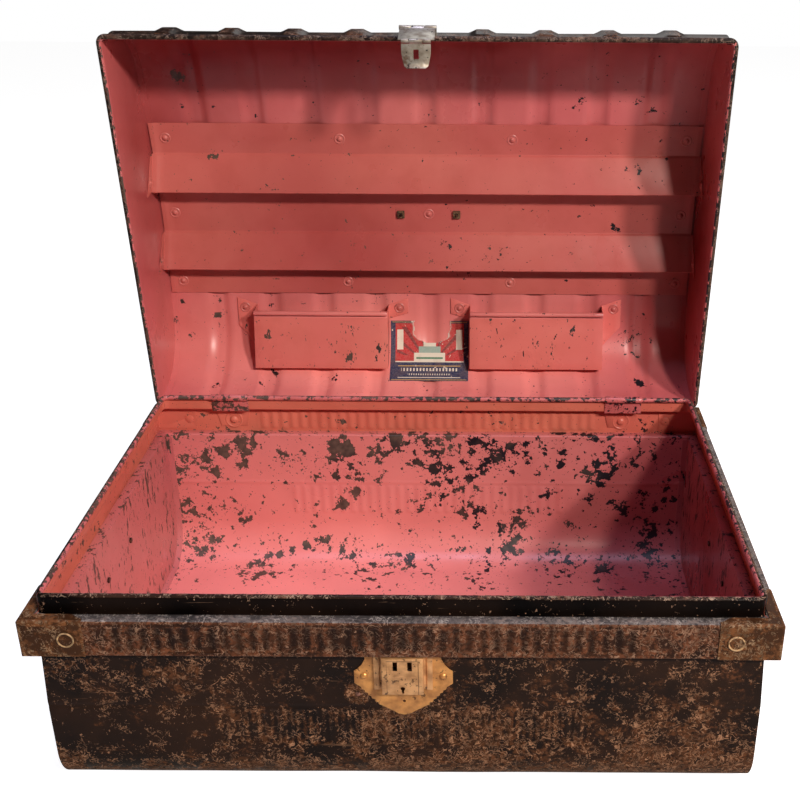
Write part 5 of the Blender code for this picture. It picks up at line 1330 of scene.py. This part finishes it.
# The pockets' pink is a paler copy of the pink, painted light where the pockets catch more of the lamps.
PINK_POCKET = pink_paint(
    "pink_paint_pockets", 0.660, 0.30, tint=(1.22, 1.22, 1.06), streak=(1.0, 1.0, 0.5), spots=POCKET_MARKS
)
POCKET_LOW = Vector((0.022, 0.066))
POCKET_TOP = Vector((0.097, 0.092))
POCKET_SHARES = (0.0, 0.112, 0.224, 0.38, 0.55, 0.728, 0.82, 0.91, 1.0)
POCKET_EAR_TOP = 0.010
POCKET_ROLL, POCKET_ROLL_REACH = 0.003, 0.0042
POCKET_RIVET = 0.0925
POCKET_RIVET_SPOTS = (POCKET_INNER - 0.0155, POCKET_OUTER + 0.0175)
POCKET_EARS = ((POCKET_INNER, -1, 5, 0.008), (POCKET_OUTER, 1, 2, 0.027))


def add_patch(bm, rows, columns, place):
    """Add a grid of new points and faces to a bmesh, welded to it later."""
    grid = [[bm.verts.new(place(row, column)) for column in range(columns)] for row in range(rows)]
    for row in range(rows - 1):
        for column in range(columns - 1):
            low, high = grid[row][column:column + 2], grid[row + 1][column:column + 2]
            bm.faces.new((*low, *reversed(high)))


def build_pocket(side, label):
    """Front, sides, bottom and ears of one pocket."""
    near, far = POCKET_INNER, POCKET_OUTER
    spots = [near] + [near + (far - near) * step / 14 for step in range(15)] + [far]
    bm, rubbed = new_shape()

    def place_front(row, column):
        forward, height = POCKET_LOW.lerp(POCKET_TOP, POCKET_SHARES[row])
        if column in (0, len(spots) - 1):
            height = dome_at(forward, STIFF_SEAT)
        elif 0 < row < 8:
            height += dent(spots[column] * side, POCKET_SHARES[row], 1.0, 0.0012, 14.0)
        return LID_PLACE @ Vector((side * spots[column], -forward, height))

    add_patch(bm, len(POCKET_SHARES), len(spots), place_front)
    for edge_x, way, first, cut_rise in POCKET_EARS:
        rows = len(POCKET_SHARES) - first
        foot = POCKET_TOP.x * POCKET_SHARES[first] + POCKET_LOW.x * (1 - POCKET_SHARES[first])

        def place_ear(row, column):
            inner = POCKET_LOW.lerp(POCKET_TOP, POCKET_SHARES[first + row]).x
            outer = foot + cut_rise + (POCKET_TOP.x + POCKET_EAR_TOP - foot - cut_rise) * row / (rows - 1)
            share = column / 3
            forward = inner + (outer - inner) * share
            x = side * (edge_x + way * POCKET_EAR * share)
            return LID_PLACE @ Vector((x, -forward, dome_at(forward, STIFF_SEAT)))

        add_patch(bm, rows, 4, place_ear)
    bmesh.ops.remove_doubles(bm, verts=bm.verts[:], dist=0.00002)

    def open_edges(near_enough):
        """Open edges of which both ends, in the lid's own frame, pass a test."""
        return [edge for edge in bm.edges
                if edge.is_boundary and all(near_enough(LID_BACK @ vert.co) for vert in edge.verts)]

    top = Vector((-POCKET_TOP.x, POCKET_TOP.y))
    roll = top - Vector((0.0, POCKET_ROLL))
    bmesh.ops.contextual_create(bm, geom=open_edges(lambda spot: abs(-spot.y - POCKET_LOW.x) < 0.0002))
    lip = open_edges(lambda spot: (spot.yz - top).length < 0.0002)
    for y, z in arc(roll, POCKET_ROLL, 90, 320, 10)[1:]:
        ends, lip = draw_out(bm, lip)
        for vert in ends:
            vert.co = LID_PLACE @ Vector(((LID_BACK @ vert.co).x, y, z))
            vert[rubbed] = 0.6
    bmesh.ops.recalc_face_normals(bm, faces=bm.faces[:])

    def pick(centre, normal):
        """0 on the front, sides and ears, 1 on the rolled edge."""
        return int(((LID_BACK @ centre).yz - roll).length < POCKET_ROLL_REACH)

    finishes = [PINK_POCKET, PINK_LID]
    finish_piece(
        "pocket_" + label, bm, finishes, "lid", ["lid_pocket_" + label], SHEET, 0.0003, pick
    )


bm, _ = new_shape()
for side, label in SIDES:
    build_pocket(side, label)
    for x in POCKET_RIVET_SPOTS:
        out = dome_out(LID_REACH / 2 - POCKET_RIVET, dome_at(POCKET_RIVET))
        seat = dome_at(POCKET_RIVET, STIFF_SEAT + SHEET / 2)
        join_lid_rivet(bm, side * x, POCKET_RIVET, seat, (0, -out.x, -out.y))
finish_piece("pocket_rivets", bm, [PINK_RIVET], "lid")


# Label pasted in the lid.
# A printed paper label of plain geometric ornament, blue round a red panel, glued to the curve of
# the dome between the pockets and torn at its upper edge.
LABEL_WIDE = 0.112
LABEL_FROM, LABEL_TO = 0.0072, 0.0733
LABEL_INSET = 0.0012


def label_paper():
    """Printed paper: blue border and foot, red panel with rays, a pale stepped block, cream rules."""
    made, shader, place = start_finish("label_paper")
    over, up, torn = (attribute(place, name) for name in ("across", "up", "torn"))

    def inside(left, right, low, high):
        return (over > left) * (over < right) * ((up > low) * (up < high))

    navy, red, cream, gold = (
        (0.010, 0.016, 0.075), (0.520, 0.012, 0.018), (0.780, 0.720, 0.600), (0.560, 0.350, 0.100)
    )
    tone = blend(inside(0.06, 0.94, 0.36, 0.96), navy, red)
    angle = (up - 0.30).join("ARCTAN2", over - 0.5)
    rays = ((angle * 22.0).join("SINE") > 0.55) * inside(0.08, 0.92, 0.46, 0.90)
    tone = blend(rays * 0.75, tone, (0.12, 0.006, 0.012))
    for colour, *patch in (
        (cream, 0.06, 0.94, 0.345, 0.365), (cream, 0.30, 0.70, 0.365, 0.50),
        ((0.30, 0.42, 0.36), 0.36, 0.64, 0.50, 0.60), (cream, 0.42, 0.58, 0.60, 0.68),
        ((0.05, 0.22, 0.12), 0.33, 0.67, 0.40, 0.43), (cream, 0.08, 0.16, 0.55, 0.86),
        (cream, 0.84, 0.92, 0.55, 0.86), (gold, 0.10, 0.90, 0.275, 0.29), (cream, 0.10, 0.90, 0.06, 0.075),
        (gold, 0.02, 0.98, 0.015, 0.028), (gold, 0.02, 0.98, 0.975, 0.985),
    ):
        tone = blend(inside(*patch), tone, colour)
    for often, least, *patch in (
        (150.0, 0.1, 0.14, 0.86, 0.19, 0.245), (210.0, 0.2, 0.22, 0.78, 0.115, 0.145),
    ):
        tone = blend(((over * often).join("SINE") > least) * inside(*patch), tone, cream)
    fibres = soft_noise(place, 420.0, 4.0)
    tone = blend(fibres * 0.10, tone, cream)
    tone = blend(soft_noise(place, 55.0, 5.0, 0.5, 0.75) * 0.35, tone, (0.22, 0.12, 0.07))
    scuffed = flakes(place, 120.0, 0.66, 0.3).join("MAXIMUM", torn, clamp=True)
    feed(shader, {
        "Base Color": blend(scuffed, tone, (0.70, 0.62, 0.54)), "Roughness": 0.62,
        "Normal": bumped(fibres, 0.0001, 0.6),
    })
    return made


LABEL_ROWS, LABEL_COLUMNS = 64, 72
bm, _, across_layer, up_layer, torn_layer = new_shape("across", "up", "torn")
bmesh.ops.create_grid(bm, x_segments=LABEL_COLUMNS, y_segments=LABEL_ROWS, size=0.5)
angle_low, angle_high = (
    math.acos(min((LID_REACH / 2 - forward - DOME_T) / (LID_CORNER - LABEL_INSET), 1.0))
    for forward in (LABEL_FROM, LABEL_TO)
)
gone = []
for vert in bm.verts:
    over, up = vert.co.x + 0.5, vert.co.y + 0.5
    ragged = 0.05 * noise.noise(Vector((over * 14, up * 9, 2.0)))
    notch = 0.22 * smoothly(0.64, 0.78, up) ** 0.5 - abs(over - 0.53) + ragged * 0.7
    if notch > 0 and up > 0.66:
        gone.append(vert)
    vert[across_layer] = over
    vert[up_layer] = up
    vert[torn_layer] = smoothly(-0.030, -0.012, notch) * smoothly(0.62, 0.70, up)
    angle = angle_low + (angle_high - angle_low) * up
    lift = 0.0006 + 0.0012 * smoothly(0.86, 1.0, up) * abs(noise.noise(Vector((over * 6, 0, 5))))
    radius = LID_CORNER - SHEET / 2 - 0.0004 - lift
    forward = DOME_T + radius * math.cos(angle) - LID_REACH / 2
    vert.co = LID_PLACE @ Vector(((over - 0.5) * LABEL_WIDE, forward, LID_SKIRT + radius * math.sin(angle)))
bmesh.ops.delete(bm, geom=gone, context="VERTS")
bmesh.ops.recalc_face_normals(bm, faces=bm.faces[:])
finish_piece("paper_label", bm, [label_paper()], "lid", ["lid_label"], 0.00018)


# Lock on the front wall.
# A shield of brass sheet with notched flanks carries a raised case with two slots and a keyhole;
# behind it slide the bolt plate and its bowed spring.
BRASS_DIRT = (0.080, 0.040, 0.018)


def old_brass(name, bright=(0.76, 0.36, 0.105), dull=(0.43, 0.190, 0.062), panel=()):
    """Tarnished brass: dull films, dark dirt in the low spots, fine rubbing marks, a pressed-in panel."""
    made, shader, place = start_finish(name)
    film = soft_noise(place, 70.0, 6.0, 0.38, 0.64)
    pits = flakes(place, 210.0, 0.655, 0.60)
    tone = blend(pits * 0.8, blend(film, bright, dull), BRASS_DIRT)
    tone = blend(scratches(place, 160.0, (0.25, 1.0, 1.0), 0.60) * 0.35, tone, bright)
    below = {}
    if panel:
        sideways, upwards = abs(axis_of(place, "X")) - panel[0], axis_of(place, "Z") - panel[1]
        raised = ramp(sideways.join("MAXIMUM", upwards), high=0.0011, shape="SMOOTHSTEP")
        tone = blend(raised * (1.0 - raised) * 2.6, tone, BRASS_DIRT)
        below["Normal"] = bumped(raised, 0.0007, 0.8)
    feed(shader, {
        "Base Color": tone, "Metallic": 0.50, "Roughness": ramp(film, bottom=0.34, top=0.58),
        "Normal": bumped(film - pits, 0.00012, 0.6, **below),
    })
    return made


CASE_PANEL = (0.0155, BODY_HEIGHT - 0.0055)
BRASS = old_brass("old_brass")
CASE_BRASS = old_brass("case_brass", (0.80, 0.44, 0.19), (0.46, 0.235, 0.098), CASE_PANEL)
dressed("escutcheon", "lock_plate", [BRASS], "base", 0.0002)
dressed("lock_cover", "lock_case", [CASE_BRASS], "base", 0.0005, angle=50.0)
dressed("bolt_plate", "lock_bolt", [DARK_STEEL], "lock_bolt", 0.0002)
dressed("bolt_spring", "lock_spring", [DARK_STEEL], "base", 0.0)
LOCK_RIVET = [
    (0.0, 0.0021), (0.0014, 0.0019), (0.0028, 0.0012), (0.0037, 0.0003), (0.0039, 0.0), (0.0020, 0.0),
    (0.0020, -0.0023), (0.0040, -0.0023), (0.0034, -0.0032), (0.0, -0.0034),
]
LOCK_RIVET_X, LOCK_RIVET_DOWN = 0.0405, 0.032
for side, label in SIDES:
    spot = (side * LOCK_RIVET_X, -(WALL_Y + GAP + SHEET + GAP), BODY_HEIGHT - LOCK_RIVET_DOWN)
    bm = turned(LOCK_RIVET, 20, spot, (0, -1, 0))
    finish_piece("shield_rivet_" + label, bm, [BRASS], "base", ["lock_rivet_" + label])


# Old rivet beside the lock.
# A small steel rivet through the front wall with a ring of rust round it, which is part of the body's
# paint.
RUSTED_RIVET = black_japan(
    "rusted_rivet", 0.72, (0.030, 0.014, 0.010), (0.200, 0.085, 0.060), (0.46, 0.26, 0.20), 0.48
)
OLD_RIVET = [
    (0.0, 0.0016), (0.0012, 0.0014), (0.0022, 0.0008), (0.0027, 0.0), (0.0014, 0.0), (0.0014, -0.0022),
    (0.0, -0.0022),
]
OLD_RIVET_X, OLD_RIVET_Z = -0.0475, 0.1342
bm = turned(OLD_RIVET, 16, (OLD_RIVET_X, -WALL_Y, OLD_RIVET_Z), (0, -1, 0))
finish_piece("old_front_rivet", bm, [RUSTED_RIVET], "base")


# Hasp on the lid.
# Plated steel in three leaves: one riveted to the lid's skirt, a swinging plate, and a tongue with a
# slot and two prongs, on two pins. The plate has worn to rust in a band.
PLATE_BRIGHT, PLATE_DULL = (0.46, 0.43, 0.36), (0.25, 0.21, 0.155)
PLATE_RUST, PLATE_PIT = (0.13, 0.065, 0.032), (0.035, 0.026, 0.020)


def worn_plate():
    """Dull plating over steel, with a rusty band and pits."""
    made, shader, place = start_finish("worn_plating")
    film = soft_noise(place, 90.0, 6.0, 0.38, 0.64)
    pits = flakes(place, 200.0, 0.63, 0.4)
    rust = ramp(grain_at(place, 60.0, 8.0, 0.7), 0.55, 0.66)
    tone = blend(film, PLATE_BRIGHT, PLATE_DULL)
    tone = blend(rust * 0.8, tone, PLATE_RUST)
    feed(shader, {
        "Base Color": blend(pits, tone, PLATE_PIT), "Metallic": 0.7,
        "Roughness": ramp(film, bottom=0.36, top=0.60), "Normal": bumped(film - pits, 0.00015, 0.6),
    })
    return made


PLATING = worn_plate()
for node, body in (
    ("hasp_leaf", "lid"), ("hasp_pin_upper", "lid"), ("hasp_plate", "hasp_plate"),
    ("hasp_pin_lower", "hasp_plate"), ("hasp_tongue", "hasp_tongue"),
):
    dressed(node + "_plated", node, [PLATING], body, 0.00018)


# Handles, nuts and rim wires.
# Bent steel rod: the carrying handle on the crown and the drop handles on the ends hang in ring
# eyes; the crown's eyes are held by square nuts inside the stiffener.
NUT_STEEL = black_japan(
    "nut_steel", 0.60, (0.030, 0.022, 0.018), (0.120, 0.070, 0.040), (0.26, 0.18, 0.11), 0.52
)
for node, body in (
    ("lid_handle_bail", "lid_handle"), ("end_handle_bail_left", "end_handle_left"),
    ("end_handle_bail_right", "end_handle_right"),
    ("lid_handle_eye_left", "lid"), ("lid_handle_eye_right", "lid"),
    ("end_handle_eye_left_front", "base"), ("end_handle_eye_left_back", "base"),
    ("end_handle_eye_right_front", "base"), ("end_handle_eye_right_back", "base"),
):
    dressed(node + "_rod", node, [DARK_STEEL], body, 0.0, angle=60.0)
for _, label in SIDES:
    node = "end_handle_plate_" + label
    dressed("end_plate_backing_" + label, node, [JAPAN_BODY], "base", 0.0003)
    dressed("handle_nut_" + label, "lid_handle_nut_" + label, [NUT_STEEL], "lid", 0.0006)
dressed(
    "base_wire", "base_rim_wire", [DARK_STEEL], "base", 0.0, angle=60.0,
    reshape=lambda bm: soften_corners(bm, COLLAR_CORNER, collar_weight),
)
dressed("lid_wire", "lid_rim_wire", [DARK_STEEL], "lid", 0.0, angle=60.0, reshape=round_lid_rim)
